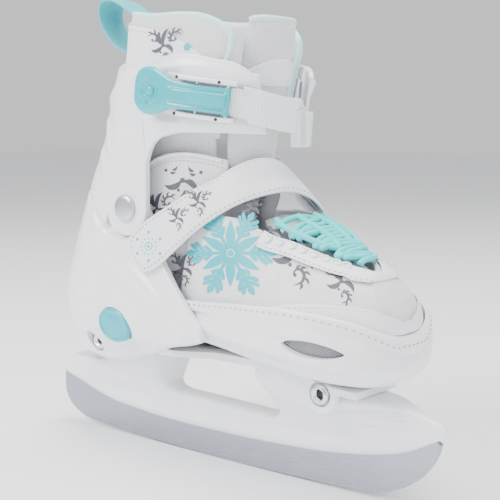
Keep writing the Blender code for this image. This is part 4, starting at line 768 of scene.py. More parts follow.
@dataclass(frozen=True)
class Finish:
    """One material: two tints, a range of roughness and the fine pattern that mixes them."""
    name: str
    slot: str
    light: tuple[float, float, float]
    dark: tuple[float, float, float]
    rough: tuple[float, float] = (0.25, 0.35)
    pattern: Pattern = Pattern.MOULDED
    scale: float = 40.0
    depth: float = 0.00004
    strength: float = 0.4
    metallic: float = 0.0
    coat: float = 0.0
    sheen: float = 0.0
    flat: bool = False

    def material(self) -> bpy.types.Material:
        """The Blender material, built the first time it is asked for."""
        made = bpy.data.materials.get(self.name)
        if made:
            return made
        made = bpy.data.materials.new(self.name)
        made.use_nodes = True
        w = Wiring(made.node_tree)
        shader = made.node_tree.nodes["Principled BSDF"]
        place = w.add("ShaderNodeTexCoord").outputs["Object"]
        if self.pattern in ON_SURFACE and not self.flat:
            place = w.add("ShaderNodeUVMap", uv_map="surface").outputs[0]
        group = w.add("ShaderNodeGroup")
        group.node_tree = effect(self.pattern.value, WIRERS[self.pattern],
                                 (("Place", "NodeSocketVector"), ("Scale", "NodeSocketFloat")))
        w.feed(group.inputs["Place"], place)
        w.feed(group.inputs["Scale"], self.scale)
        mix = w.add("ShaderNodeMix", data_type="RGBA")
        w.feed(mix.inputs[0], group.outputs["Mask"])
        w.feed(mix.inputs[6], (*self.dark, 1.0))
        w.feed(mix.inputs[7], (*self.light, 1.0))
        w.feed(shader.inputs["Base Color"], mix.outputs[2])
        span = w.add("ShaderNodeMapRange")
        w.feed(span.inputs["Value"], group.outputs["Mask"])
        span.inputs["To Min"].default_value, span.inputs["To Max"].default_value = self.rough
        w.feed(shader.inputs["Roughness"], span.outputs[0])
        relief = w.add("ShaderNodeBump")
        relief.inputs["Strength"].default_value = self.strength
        relief.inputs["Distance"].default_value = self.depth
        w.feed(relief.inputs["Height"], group.outputs["Height"])
        w.feed(shader.inputs["Normal"], relief.outputs[0])
        for word, value in (("Metallic", self.metallic), ("Coat Weight", self.coat),
                            ("Coat Roughness", 0.12), ("Sheen Weight", self.sheen)):
            shader.inputs[word].default_value = value
        return made


SHELL = Finish("white_shell_gloss", "white_shell", (0.90, 0.905, 0.93), (0.86, 0.865, 0.90),
               (0.24, 0.31), scale=45, depth=0.00005, strength=0.25, coat=0.25)
RAIL = Finish("white_holder", "white_shell", (0.88, 0.885, 0.91), (0.84, 0.845, 0.88),
              (0.27, 0.34), scale=45, depth=0.00005, strength=0.25, coat=0.15)
TEAL = Finish("teal_gloss", "teal_plastic", (0.004, 0.47, 0.53), (0.003, 0.38, 0.45),
              (0.16, 0.24), scale=60, depth=0.00004, strength=0.2, coat=0.5)
STEEL = Finish("blade_steel", "steel_blade", (0.44, 0.46, 0.50), (0.22, 0.24, 0.28),
               (0.20, 0.34), Pattern.BRUSHED, 160, 0.00005, 0.35, metallic=1.0)
RIVET = Finish("satin_rivet", "steel_hardware", (0.70, 0.71, 0.73), (0.55, 0.56, 0.58),
               (0.30, 0.40), Pattern.MOULDED, 120, 0.00003, 0.3, metallic=1.0)
SCREW = Finish("bright_screw", "steel_hardware", (0.80, 0.81, 0.83), (0.62, 0.63, 0.65),
               (0.12, 0.22), Pattern.MOULDED, 150, 0.00002, 0.3, metallic=1.0)
# Near-black tint: painted shade on the floor of the bolts' hex sockets; the buckle frame's small
# pin dots use it too.
SOCKET = Finish("dark_socket", "steel_hardware", (0.05, 0.05, 0.06), (0.03, 0.03, 0.035),
                (0.4, 0.5), scale=150, metallic=0.6)
LEATHER = Finish("white_leatherette", "white_leather", (0.90, 0.90, 0.92), (0.82, 0.82, 0.86),
                 (0.38, 0.5), Pattern.GRAIN, 1300, 0.00006, 0.35, sheen=0.05)
CLOTH = Finish("upper_weave", "upper_cloth", (0.87, 0.87, 0.885), (0.64, 0.64, 0.67),
               (0.6, 0.8), Pattern.WEAVE, 6000, 0.00012, 0.55, sheen=0.2)
RIB = Finish("ribbed_mesh", "liner_mesh", (0.80, 0.80, 0.82), (0.50, 0.50, 0.53),
             (0.65, 0.85), Pattern.RIBBED, 3400, 0.0002, 0.6, sheen=0.3)
LINING = Finish("inner_lining", "liner_mesh", (0.62, 0.62, 0.65), (0.42, 0.42, 0.45),
                (0.8, 0.9), Pattern.MESH, 2600, 0.0002, 0.6, sheen=0.4)
VENT_MESH = Finish("vent_mesh", "grey_cloth", (0.42, 0.42, 0.46), (0.06, 0.06, 0.07),
                   (0.5, 0.7), Pattern.MESH, 2300, 0.0003, 0.9)
MINT = Finish("mint_piping", "liner_mesh", (0.62, 0.86, 0.87), (0.50, 0.76, 0.78),
              (0.5, 0.65), Pattern.WEAVE, 5200, 0.0001, 0.5, sheen=0.2)
PIPING = Finish("white_piping", "white_leather", (0.90, 0.90, 0.92), (0.84, 0.84, 0.88),
                (0.4, 0.5), Pattern.GRAIN, 1500, 0.00005, 0.3)
CORD = Finish("teal_cord", "teal_cord", (0.02, 0.56, 0.54), (0.008, 0.30, 0.31),
              (0.45, 0.65), Pattern.BRAID, 1900, 0.0003, 0.8, sheen=0.15)
WEBBING = Finish("teal_webbing", "teal_cord", (0.05, 0.58, 0.64), (0.02, 0.40, 0.47),
                 (0.6, 0.75), Pattern.WEAVE, 4200, 0.0002, 0.7, sheen=0.2)
GREY = Finish("grey_cloth", "grey_cloth", (0.45, 0.45, 0.49), (0.30, 0.30, 0.34),
              (0.7, 0.85), Pattern.WEAVE, 4800, 0.00015, 0.6)
THREAD = Finish("grey_thread", "grey_cloth", (0.42, 0.42, 0.47), (0.30, 0.30, 0.34),
                (0.6, 0.7), Pattern.GRAIN, 3000, 0.00003, 0.4)
WHITE_THREAD = Finish("white_thread", "white_leather", (0.80, 0.80, 0.84), (0.70, 0.70, 0.75),
                      (0.6, 0.7), Pattern.GRAIN, 3000, 0.00003, 0.4)
INK_GREY = Finish("grey_print", "grey_cloth", (0.10, 0.10, 0.125), (0.07, 0.07, 0.09),
                  (0.45, 0.6), Pattern.WEAVE, 6000, 0.00008, 0.5, flat=True)
INK_TEAL = Finish("teal_print", "teal_cord", (0.008, 0.50, 0.56), (0.006, 0.42, 0.50),
                  (0.4, 0.55), Pattern.WEAVE, 6000, 0.00008, 0.5, flat=True)


def dress(names: str, finish: Finish) -> None:
    """Gives the CAD nodes that stay in view, named with spaces between, their finish."""
    for node in names.split():
        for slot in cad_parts[node].material_slots:
            slot.material = finish.material()


# ---- printed patterns ----------------------------------------------------------------
ACROSS = np.array([0.76604, 0.64279, 0.0])          # the flat drawing's two directions
UPWARD = np.array([-0.07277, 0.08672, 0.99357])
ORIGIN = np.array([14.912, 0.0, 111.285])


def press(place: Place, drawn: Array, guess: Point, lift: float) -> Array:
    """Presses a flat drawing onto a surface along one direction.

    Newton's method, on whole arrays, finds for each drawn point the two surface
    coordinates whose point falls on it when looked at along that direction.

    Args:
        place: gives points from two coordinates and off.
        drawn: points (..., 2) in millimetres on the flat drawing.
        guess: surface coordinates to start from.
        lift: how far over the surface the print lies.
    """
    p, q = np.full(drawn.shape[:-1], guess[0]), np.full(drawn.shape[:-1], guess[1])
    seen = lambda a, b: np.stack([(place(a, b, 0.0) - ORIGIN) @ ACROSS,
                                  (place(a, b, 0.0) - ORIGIN) @ UPWARD], -1)
    for _ in range(24):
        here = seen(p, q)
        dp, dq = (seen(p + 1e-3, q) - here) / 1e-3, (seen(p, q + 1e-3) - here) / 1e-3
        miss = drawn - here
        det = dp[..., 0] * dq[..., 1] - dp[..., 1] * dq[..., 0]
        det = np.where(np.abs(det) < 1e-9, 1e-9, det)
        move_p = (miss[..., 0] * dq[..., 1] - miss[..., 1] * dq[..., 0]) / det
        move_q = (dp[..., 0] * miss[..., 1] - dp[..., 1] * miss[..., 0]) / det
        scale = np.minimum(1, 0.25 * np.maximum(np.abs(guess[0]), 1) / np.maximum(
            np.abs(move_p), 1e-9))
        p, q = p + move_p * scale, q + move_q * scale
    return place(p, q, lift)


def stroke(path: Sequence[Sequence[float]], widths: Sequence[float], count: int = 18) -> Array:
    """Brush stroke: a smooth line with a smooth half width, as a grid three points wide."""
    at = flow(path, count)
    half = flow([(w,) for w in widths], count)
    run = np.gradient(at, axis=0)
    side = np.stack([-run[:, 1], run[:, 0]], -1)
    side /= np.linalg.norm(side, axis=1, keepdims=True)
    return at[:, None] + (half * side)[:, None] * np.array([-1, 0, 1])[None, :, None]


def disc(x: float, y: float, size: float) -> Array:
    """Round dot as a grid of two half discs."""
    turn = np.linspace(0, 2 * math.pi, 13)
    ring = np.stack([x + size * np.cos(turn), y + size * np.sin(turn)], -1)
    return np.stack([np.full_like(ring, 0) + (x, y), (ring + (x, y)) / 2, ring], 1)


def turned(grid: Array, degrees: float, centre: Point, size: float = 1.0) -> Array:
    """A drawn grid scaled, turned and put at a centre."""
    a = math.radians(degrees)
    spin = np.array([[math.cos(a), math.sin(a)], [-math.sin(a), math.cos(a)]])
    return grid * size @ spin + centre


def snowflake(radius: float) -> list[Array]:
    """Six-armed snow crystal: barbed arms with round ends, and a leaf between each pair."""
    arm = [stroke([(0.10, 0), (0.4, 0), (0.78, 0), (1.0, 0)], [0.03, 0.035, 0.045, 0.012])]
    arm.append(stroke([(0.80, 0), (0.90, 0), (1.02, 0)], [0.02, 0.075, 0.02]))
    for at, reach in ((0.42, 0.16), (0.56, 0.24), (0.70, 0.20)):
        for side in (-1, 1):
            arm.append(stroke([(at, 0), (at + reach * 0.7, side * reach * 0.72),
                               (at + reach * 1.05, side * reach * 0.98)],
                              [0.035, 0.042, 0.03]))
    leaf = [stroke([(0.10, 0), (0.25, 0), (0.45, 0), (0.72, 0)], [0.02, 0.085, 0.095, 0.01])]
    made = []
    for k in range(6):
        made += [turned(g, 60 * k, (0, 0), radius) for g in arm]
        made += [turned(g, 60 * k + 30, (0, 0), radius) for g in leaf]
    made += [turned(disc(0.17, 0.0, 0.05), 60 * k, (0, 0), radius) for k in range(6)]
    made.append(disc(0, 0, 0.07 * radius))
    return made


def scroll(hand: int = 1) -> list[Array]:
    """Acanthus curl: a spiral stem that swells and closes in a bud, with leaves outside.

    The spiral's radius falls as exp(-0.28 angle); leaves stand at even angles on it.
    """
    angle = np.linspace(0, 1.75 * math.pi, 9)
    spiral = np.exp(-0.28 * angle)[:, None] * np.stack([np.cos(angle),
                                                        hand * np.sin(angle)], -1)
    made = [stroke(spiral, [0.03, 0.10, 0.15, 0.15, 0.12, 0.10, 0.08, 0.10, 0.13], 30)]
    made.append(disc(*spiral[-1], 0.16))
    for k, reach in ((1, 0.50), (2, 0.62), (3, 0.60), (4, 0.48), (5, 0.36)):
        out = spiral[k] / np.linalg.norm(spiral[k])
        side = np.array([out[1], -out[0]]) * hand
        made.append(stroke([spiral[k] * 0.98, spiral[k] + out * reach * 0.6 + side * 0.10,
                            spiral[k] + out * reach + side * 0.42],
                           [0.07, 0.13, 0.015], 10))
    return made


def spray(size: float) -> list[Array]:
    """Cluster of three curls and three leaves that fan out from one point."""
    made = []
    for degrees, x, y, part, hand in ((20, 0.62, 0.30, 0.42, 1), (150, -0.55, 0.42, 0.38, -1),
                                      (255, 0.05, -0.62, 0.34, 1)):
        made += [turned(g, degrees, (x, y), part) for g in scroll(hand)]
    for degrees, reach in ((75, 0.9), (110, 0.75), (200, 0.7), (325, 0.7)):
        leaf = stroke([(0.05, 0), (reach * 0.4, 0.10), (reach * 0.75, 0.06), (reach, -0.1)],
                      [0.03, 0.11, 0.09, 0.01])
        made.append(turned(leaf, degrees, (0, 0)))
    made += [disc(0.0, 0.0, 0.10), disc(-0.15, -0.35, 0.06), disc(0.35, -0.2, 0.06)]
    return [g * size for g in made]


def sprays(*rows: tuple[float, float, float]) -> list[Array]:
    """Sprays of a table of (x, y, size)."""
    return [g + (x, y) for x, y, size in rows for g in spray(size)]


def dotted_ring(size: float) -> list[Array]:
    """Ring with a dot in it, a round of small dots and a wider round of six large ones."""
    turn = np.linspace(0, 2 * math.pi, 25)
    circle = np.stack([np.cos(turn), np.sin(turn)], -1)
    made = [np.stack([circle * k * 0.28 for k in (0.78, 0.9, 1.0)], 1), disc(0, 0, 0.10)]
    for k in range(12):
        a = math.pi * k / 6
        made.append(disc(0.52 * math.cos(a), 0.52 * math.sin(a), 0.055))
    for k in range(6):
        a = math.pi * (k / 3 + 1 / 6)
        made.append(disc(0.92 * math.cos(a), 0.92 * math.sin(a), 0.095))
    return [g * size for g in made]


def inked(name: str, place: Place, guess: Point, parts: Sequence[Array],
          finish: Finish, body: str, lift: float = 0.16,
          keep: Optional[Curve] = None) -> Optional[Piece]:
    """One print of many drawn grids, pressed on a surface.

    Args:
        keep: says which grids stay, from the points of each.
    """
    skins = []
    for part in parts:
        points = press(place, part, guess, lift)
        if np.isfinite(points).all() and (keep is None or keep(points)):
            points[:, [0, -1]] += (press(place, part, guess, lift - 0.12) - points)[:, [0, -1]] \
                if lift > 0.12 else 0
            skins.append(facing(points))
    return grids(name, skins, finish, body, wrap=False, closed=False) if skins else None


def facing(points: Array) -> Array:
    """A print's grid, turned over where its faces would look into the surface."""
    a, b, c = points[0, 0], points[-1, 0], points[len(points) // 2, -1]
    normal = np.cross(b - a, c - a)
    away = points.mean((0, 1)) - np.array([points[..., 0].mean(), 0.0, 90.0])
    return points if normal @ away > 0 else points[:, ::-1]


# ---- sub-assemblies ------------------------------------------------------------------
@dataclass
class Runner:
    """Blade holder, blade and the two bolts that carry the boot."""
    rail_bead: float = 0.7
    rear_half: float = 16.6
    front_half: float = 20.1
    around: int = 44
    along: int = 300

    def half(self, x: Array, z: Array) -> Array:
        """Half thickness: the rail thins to both tips, and two towers climb from it."""
        tip = np.clip(np.abs(x) / 131.0, 0, 1)
        rail = 7.8 * (1 - tip ** 3.2) ** 0.55 + 0.6
        rear = step((-34.0 - x) / 5) * (1 - 0.75 * step((-x - 96) / 34))
        front = step((x - 30.0) / 5) * (1 - step((x - 62) / 66))
        climb = step((z - 24) / 27)
        tower = rear * (self.rear_half - rail) * climb + front * (self.front_half - rail) * climb
        bar = (rear < 0.01) & (front < 0.01) & (z > 45)
        half = np.where(bar, 4.2, rail + np.maximum(tower, 0))
        inside = np.maximum(shaft_half(x, z)[0] - 4.4, 1.5)
        return np.where((x < -50) & (z > 43.5), np.minimum(half, inside), half)

    def outlines(self) -> tuple[Array, Array]:
        """Matching outer and window outlines of the holder, side view."""
        x0, x1, z0, z1 = -37.0, 38.0, 32.6, 52.4
        under = lambda x: min(float(smooth(x, TOE_FLOOR)) - 3.6, 58.0) - 0.4
        rail = lambda a, b, n: [(x, float(smooth(x, RAIL_LOW))) for x in np.linspace(a, b, n)]
        legs = [
            (rail(-40, 44, 8), [(x, z0 - 2.4 * (x - x0) / (x1 - x0))
                                for x in np.linspace(x0 + 6, x1 - 4, 8)]),
            (rail(55, 129.5, 11), [(x1 - 4 + 5 * math.sin(a), z0 + 1.6 - 4 * math.cos(a))
                                   for a in np.radians(np.linspace(8, 90, 11))]),
            ([(129.8, 37.4), (126.5, 41.0), (116, 44.6), (105, 48.0), (97.5, 48.6)]
             + [(x, under(x)) for x in (91, 82, 74, 65, 55, 45, 37)],
             [(x1 + 1 - 5.5 * t, z0 + 2.4 + (z1 - z0 - 4.4) * t)
              for t in np.linspace(0.05, 1, 12)]),
            ([(x, 56.2) for x in np.linspace(29, -28, 7)],
             [(x, z1) for x in np.linspace(29, -28, 7)]),
            ([(-35, 56.4), (-44, 56.9), (-58, 56.9), (-72, 56.9), (-84, 56.9), (-92, 56.5)],
             [(x0 + 2.5, z1 - 0.4), (x0 + 0.8, z1 - 1.6), (x0 + 0.3, z1 - 4), (x0, z1 - 6.5),
              (x0, z1 - 9), (x0 - 0.3, z1 - 11)]),
            ([(-94.8, 50.5), (-97.2, 45.2), (-108, 44.0), (-116.5, 40.4), (-124.5, 34.8),
              (-130.4, 30.6)],
             [(x0 - 0.6, z1 - 12.5), (x0 - 0.8, z1 - 14), (x0 - 0.8, z1 - 15.2),
              (x0 - 0.6, z1 - 16.3), (x0 - 0.1, z1 - 17.3), (x0 + 0.8, z1 - 18.2)]),
            (rail(-126, -50, 9), [(x0 + 1.6 + 0.5 * k, z1 - 18.8 - 0.12 * k) for k in range(9)]),
        ]
        return (np.array([p for leg in legs for p in leg[0]]),
                np.array([p for leg in legs for p in leg[1]]))

    def closed_flow(self, points: Array) -> Array:
        """Closed smooth curve through an outline, spread evenly over its points."""
        around = np.concatenate([points[-2:], points, points[:3]])
        at = np.linspace(2, len(points) + 2, self.along, endpoint=False)
        knots = np.arange(len(around), dtype=float)
        return np.stack([smooth(at, np.stack([knots, around[:, k]], 1)) for k in (0, 1)], -1)

    def relief(self, x: Array, z: Array) -> Array:
        """Side faces: rail bead and the groove over it, panels and ribs of the towers."""
        base = smooth(x, RAIL_LOW)
        made = self.rail_bead * np.exp(-((z - base - 5.0) / 3.0) ** 2)
        made -= 0.9 * np.exp(-((z - base - 10.5) / 1.3) ** 2) * (np.abs(x) < 112)
        inside = lambda x0, x1, z0, z1, s: (step((x - x0) / s) * step((x1 - x) / s)
                                            * step((z - z0) / s) * step((z1 - z) / s))
        made -= 1.3 * inside(-86, -45, 34, 47.5, 2.5)
        made += 1.0 * inside(-76, -52, 39, 42.0, 1.2)
        made -= 1.6 * inside(88, 110, 35.5, 46.5, 2.0)
        slant = (x + 0.5 * z) % 5.2
        made += 0.8 * inside(90, 108, 36.5, 45.5, 1.6) * np.exp(-((slant - 2.6) / 0.8) ** 2)
        made += bump(x, z, [(36, 61), (50, 54), (65, 45), (77, 39), (85, 36)], 1.1, -0.6)
        return made

    def build(self) -> None:
        """Makes the holder with its lug seats, dresses the blade and makes the bolts."""
        outer, window = (self.closed_flow(p) for p in self.outlines())
        turn = circle(self.around)
        share = across(turn, 0.55)
        x = outer[:, None, 0] + (window[:, 0] - outer[:, 0])[:, None] * share
        z = outer[:, None, 1] + (window[:, 1] - outer[:, 1])[:, None] * share
        side = power(np.sin(turn), 0.42)
        half = self.half(x, z) + self.relief(x, z) * np.minimum(1, 1.6 * np.abs(np.sin(turn)))
        holder = grids("holder_body", [np.stack([x, -half * side, z], -1)], RAIL, "base",
                       spin=True)
        for sign in (-1, 1):
            cut_prism(holder, self.lug(0.4), sign, 16.8)
        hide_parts("blade_holder")
        dress("blade", STEEL)
        for name, (bx, bz), bear in (("rear", BOLT_REAR, 20.6), ("front", BOLT_FRONT, 18.8)):
            head = [(-0.2, 0.0), (-0.2, 4.3), (0.3, 4.9), (1.6, 5.0), (2.5, 4.6), (3.0, 3.6),
                    (2.95, 2.7), (1.2, 2.45), (1.1, 0.0)]
            shank = [(-30.0, 0.0), (-30.0, 2.0), (-0.1, 2.0), (-0.1, 0.0)]
            grids(name + "_bolt_head", [
                lathe((bx, -bear, bz), (0, -1, 0), head, 36, (6, 7)),
                lathe((bx, -bear, bz), (0, -1, 0), shank, 20)], SCREW, "base",
                stands_for=name + "_bolt")
            # Near-black disc on the floor of each bolt's hex socket: painted shade in the socket's
            # recess.
            grids(name + "_bolt_socket_shade", [lathe((bx, -bear, bz), (0, -1, 0),
                  [(1.12, 0.0), (1.14, 2.3), (1.3, 2.3), (1.3, 0.0)], 36)], SOCKET, "base")
            nut = [(0.0, 0.0), (0.0, 4.9), (1.4, 5.0), (2.2, 4.5), (2.5, 3.4), (2.45, 2.6),
                   (1.0, 2.4), (0.9, 0.0)]
            tube = [(-2 * bear + 4.2, 2.4), (-2 * bear + 4.2, 3.2), (0.1, 3.2), (0.1, 2.4)]
            grids(name + "_nut_head", [
                lathe((bx, bear, bz), (0, 1, 0), nut, 36, (5, 6)),
                lathe((bx, bear, bz), (0, 1, 0), tube + tube[:1], 24)], SCREW, "base",
                stands_for=name + "_sleeve_nut")

    def lug(self, grow: float) -> list[Point]:
        """Side outline of the boot's front lug, which sits in the holder's seat."""
        bx, bz = BOLT_FRONT
        r = 9.0 + grow
        under = lambda x: float(smooth(x, TOE_FLOOR)) - 3.6
        foot_arc = [(bx + r * math.cos(a), bz + r * math.sin(a))
                    for a in np.linspace(math.radians(-132), 0, 24)]
        return ([(30 - grow, under(30) + 0.5)] + foot_arc
                + [(bx + r, under(bx + r) + 1.2 + grow), (50, under(50) + 1.2 + grow),
                   (30 - grow, under(30) + 1.2 + grow)])


def cut_prism(piece: Piece, outline: Table, sign: int, near: float, far: float = 60.0) -> None:
    """Cuts a straight prism of a side outline out of a piece, from y = sign * near outwards."""
    ring = np.array(outline)
    rows = np.stack([np.stack([ring[:, 0], np.full(len(ring), sign * y), ring[:, 1]], -1)
                     for y in (near, far)])
    bm = bmesh.new()
    loops = [[bm.verts.new(Vector(p) * MM) for p in row] for row in rows]
    bm.faces.new(loops[0])
    bm.faces.new(loops[1])
    for i in range(len(ring)):
        k = (i + 1) % len(ring)
        bm.faces.new((loops[0][i], loops[0][k], loops[1][k], loops[1][i]))
    bmesh.ops.recalc_face_normals(bm, faces=bm.faces)
    mesh = bpy.data.meshes.new("cutter")
    bm.to_mesh(mesh)
    bm.free()
    tool = bpy.data.objects.new("cutter", mesh)
    bpy.context.scene.collection.objects.link(tool)
    change = piece.modifiers.new("cut", "BOOLEAN")
    change.solver = "EXACT"
    change.object = tool
    bpy.context.view_layer.update()
    graph = bpy.context.evaluated_depsgraph_get()
    cut = bpy.data.meshes.new_from_object(piece.evaluated_get(graph))
    piece.modifiers.clear()
    piece.data = cut
    bpy.data.objects.remove(tool, do_unlink=True)
    cut.polygons.foreach_set("use_smooth", np.ones(len(cut.polygons), bool))
    cut.set_sharp_from_angle(angle=math.radians(38))


def ellipse(x: float, z: float, a: float, b: float, tilt: float = 0.0,
            count: int = 48) -> list[Point]:
    """Points of a tilted ellipse in the side view."""
    turn = circle(count)
    ex, ez, t = a * np.cos(turn), b * np.sin(turn), math.radians(tilt)
    return list(zip(x + ex * math.cos(t) - ez * math.sin(t),
                    z + ex * math.sin(t) + ez * math.cos(t)))


@dataclass
class HeelBase:
    """Heel shell with its moulded folds, size button, ankle rivets and footbed."""
    thick: float = 3.5
    front: float = 20.0
    columns: int = 150

    def relief(self, x: Array, z: Array) -> Array:
        """Folds that sweep forward and down from the heel, and the round under the lobe."""
        return folds(x, z, [
            ([(-62, 137), (-60, 124), (-50, 113), (-33, 101), (-12, 91), (2, 82)], 3.2, 1.3),
            ([(-66, 127), (-66, 115), (-54, 100), (-38, 90), (-18, 81), (2, 74)], 4.0, -1.1),
            ([(-84, 92), (-72, 88), (-58, 86.5), (-40, 84), (-14, 78), (8, 73)], 3.0, 1.2),
            ([(-86, 84), (-72, 80.5), (-60, 81), (-40, 79)], 2.6, -0.8),
            ([(-74, 50), (-50, 52.5), (-28, 56), (-10, 63), (4, 68)], 1.6, 0.8),
            ([(-74, 55), (-50, 57.5), (-28, 61), (-12, 68)], 2.2, -0.6),
            ([(-52, 129), (-47, 121), (-36, 114.5), (-25, 119)], 1.6, 0.7),
            ([(-30, 108), (-18, 99), (-6, 89), (6, 80)], 2.4, -0.7),
        ])

    def tuck(self, x: Array, z: Array) -> Array:
        """Step inwards that lets the cuff lie flush: a smooth step 1.8 mm high."""
        return -3.75 * step((z - tuck_line(x) + 0.4) / 1.8) * (x < POST_EDGE)

    def build(self) -> None:
        """Makes the shell and cuts the button's hole and the bolts' counterbores."""
        post = float(column_at(POST_EDGE, self.front))
        c = mirrored(np.concatenate([np.linspace(0, post - 0.012, self.columns // 3),
                                     np.linspace(post - 0.01, post + 0.01, 8),
                                     np.linspace(post + 0.014, 1, self.columns // 5)]))
        place = lambda u, h, o: shaft(u, h, np.asarray(o) + 0.3, self.front)
        low = edge_height(c, 0, line(HEEL_LOW), self.front) - 0.35
        high = edge_height(c, 0, line(HEEL_TOP), self.front) + 0.3
        shell = grids("heel_shell_form", [
            wall(place, c, low, high, self.thick, 1.1, 74, relief=self.relief,
                 shift=self.tuck)], SHELL, "base")
        cut_prism(shell, ellipse(*BUTTON, *(half + 0.5 for half in BUTTON_HALF), BUTTON_TILT),
                  -1, 26)
        for sign in (-1, 1):
            cut_prism(shell, ellipse(*BOLT_REAR, 6.0, 6.0), sign, 19)
        dress("heel_shell", RAIL)
        self.button()
        self.rivets()
        self.footbed()
        dress("latch_bar latch_spring", SCREW)

    def button(self) -> None:
        """Domed oval button: its rings are scaled copies of the oval, at listed sizes and depths.
        """
        half = float(shaft_half(*BUTTON)[0])
        face, back = -(half + 2.6), -(half - 1.8)
        rows = []
        for y, part in ((back, 0.0), (back, 0.97), (back - 0.4, 1.0), (face + 1.0, 1.0),
                        (face + 0.45, 0.975), (face + 0.1, 0.92), (face - 0.05, 0.84),
                        (face + 0.35, 0.80), (face + 0.42, 0.74), (face + 0.1, 0.5),
                        (face - 0.1, 0.25), (face - 0.15, 0.0)):
            ring = np.array(ellipse(*BUTTON, *(half * part for half in BUTTON_HALF),
                                    BUTTON_TILT))
            rows.append(np.stack([ring[:, 0], np.full(len(ring), y), ring[:, 1]], -1))
        cap = np.array(rows)
        stem = lathe((BUTTON[0], back + 0.2, BUTTON[1]), (0, 1, 0),
                     [(0, 0.0), (0, 4.0), (-31.4 - back, 4.0), (-31.4 - back, 0.0)], 28)
        grids("size_button_cap", [cap, stem], TEAL, "button", stands_for="size_button")

    def rivets(self) -> None:
        """Ankle rivets with low domes, each in a dark seam ring."""
        face = float(shaft_half(*ANKLE)[0])
        for sign, word in ((-1, "outer"), (1, "inner")):
            dome = [(-8.0, 0.0), (-8.0, 3.0), (0.4, 3.0), (0.4, 6.7), (0.9, 6.8), (1.5, 6.6),
                    (1.9, 6.0), (2.15, 4.5), (2.3, 2.5), (2.35, 0.0)]
            grids("ankle_rivet_%s_dome" % word, [
                lathe((ANKLE[0], sign * face, ANKLE[1]), (0, sign, 0), dome, 56)], RIVET,
                "base", stands_for="ankle_rivet_" + word)
            dress("ankle_washer_" + word, SCREW)

    def footbed(self) -> None:
        """Insole: a thin padded slab on the deck, its top crowned to the edges."""
        s = np.concatenate([-97 + 2.5 * np.sin(np.radians([0, 30, 60])),
                            np.linspace(-93.5, 90, 110), [92, 93.3, 94]])
        deck = smooth(s, [(-100, 69), (-36, 69), (-14, 69.6), (22, 69.9), (30, 69.2),
                          (60, 65.4), (94, 61.2)])
        half = smooth(s, [(-97, 9), (-92, 17), (-80, 22), (-50, 24), (-17, 23), (-10, 19),
                          (30, 18), (60, 19), (80, 17), (90, 12), (94, 8)])
        turn = circle(56)
        y = half[:, None] * power(np.cos(turn), 0.7)
        lift = 1.5 + 1.4 * power(np.sin(turn), 0.45) * np.clip(
            np.minimum((s + 97.4) / 4, (94.4 - s) / 4), 0.05, 1)[:, None]
        slab = np.stack([np.repeat(s[:, None], 56, 1), y, deck[:, None] + lift], -1)
        grids("footbed_pad", [capped(slab)], LINING, "base", stands_for="footbed")


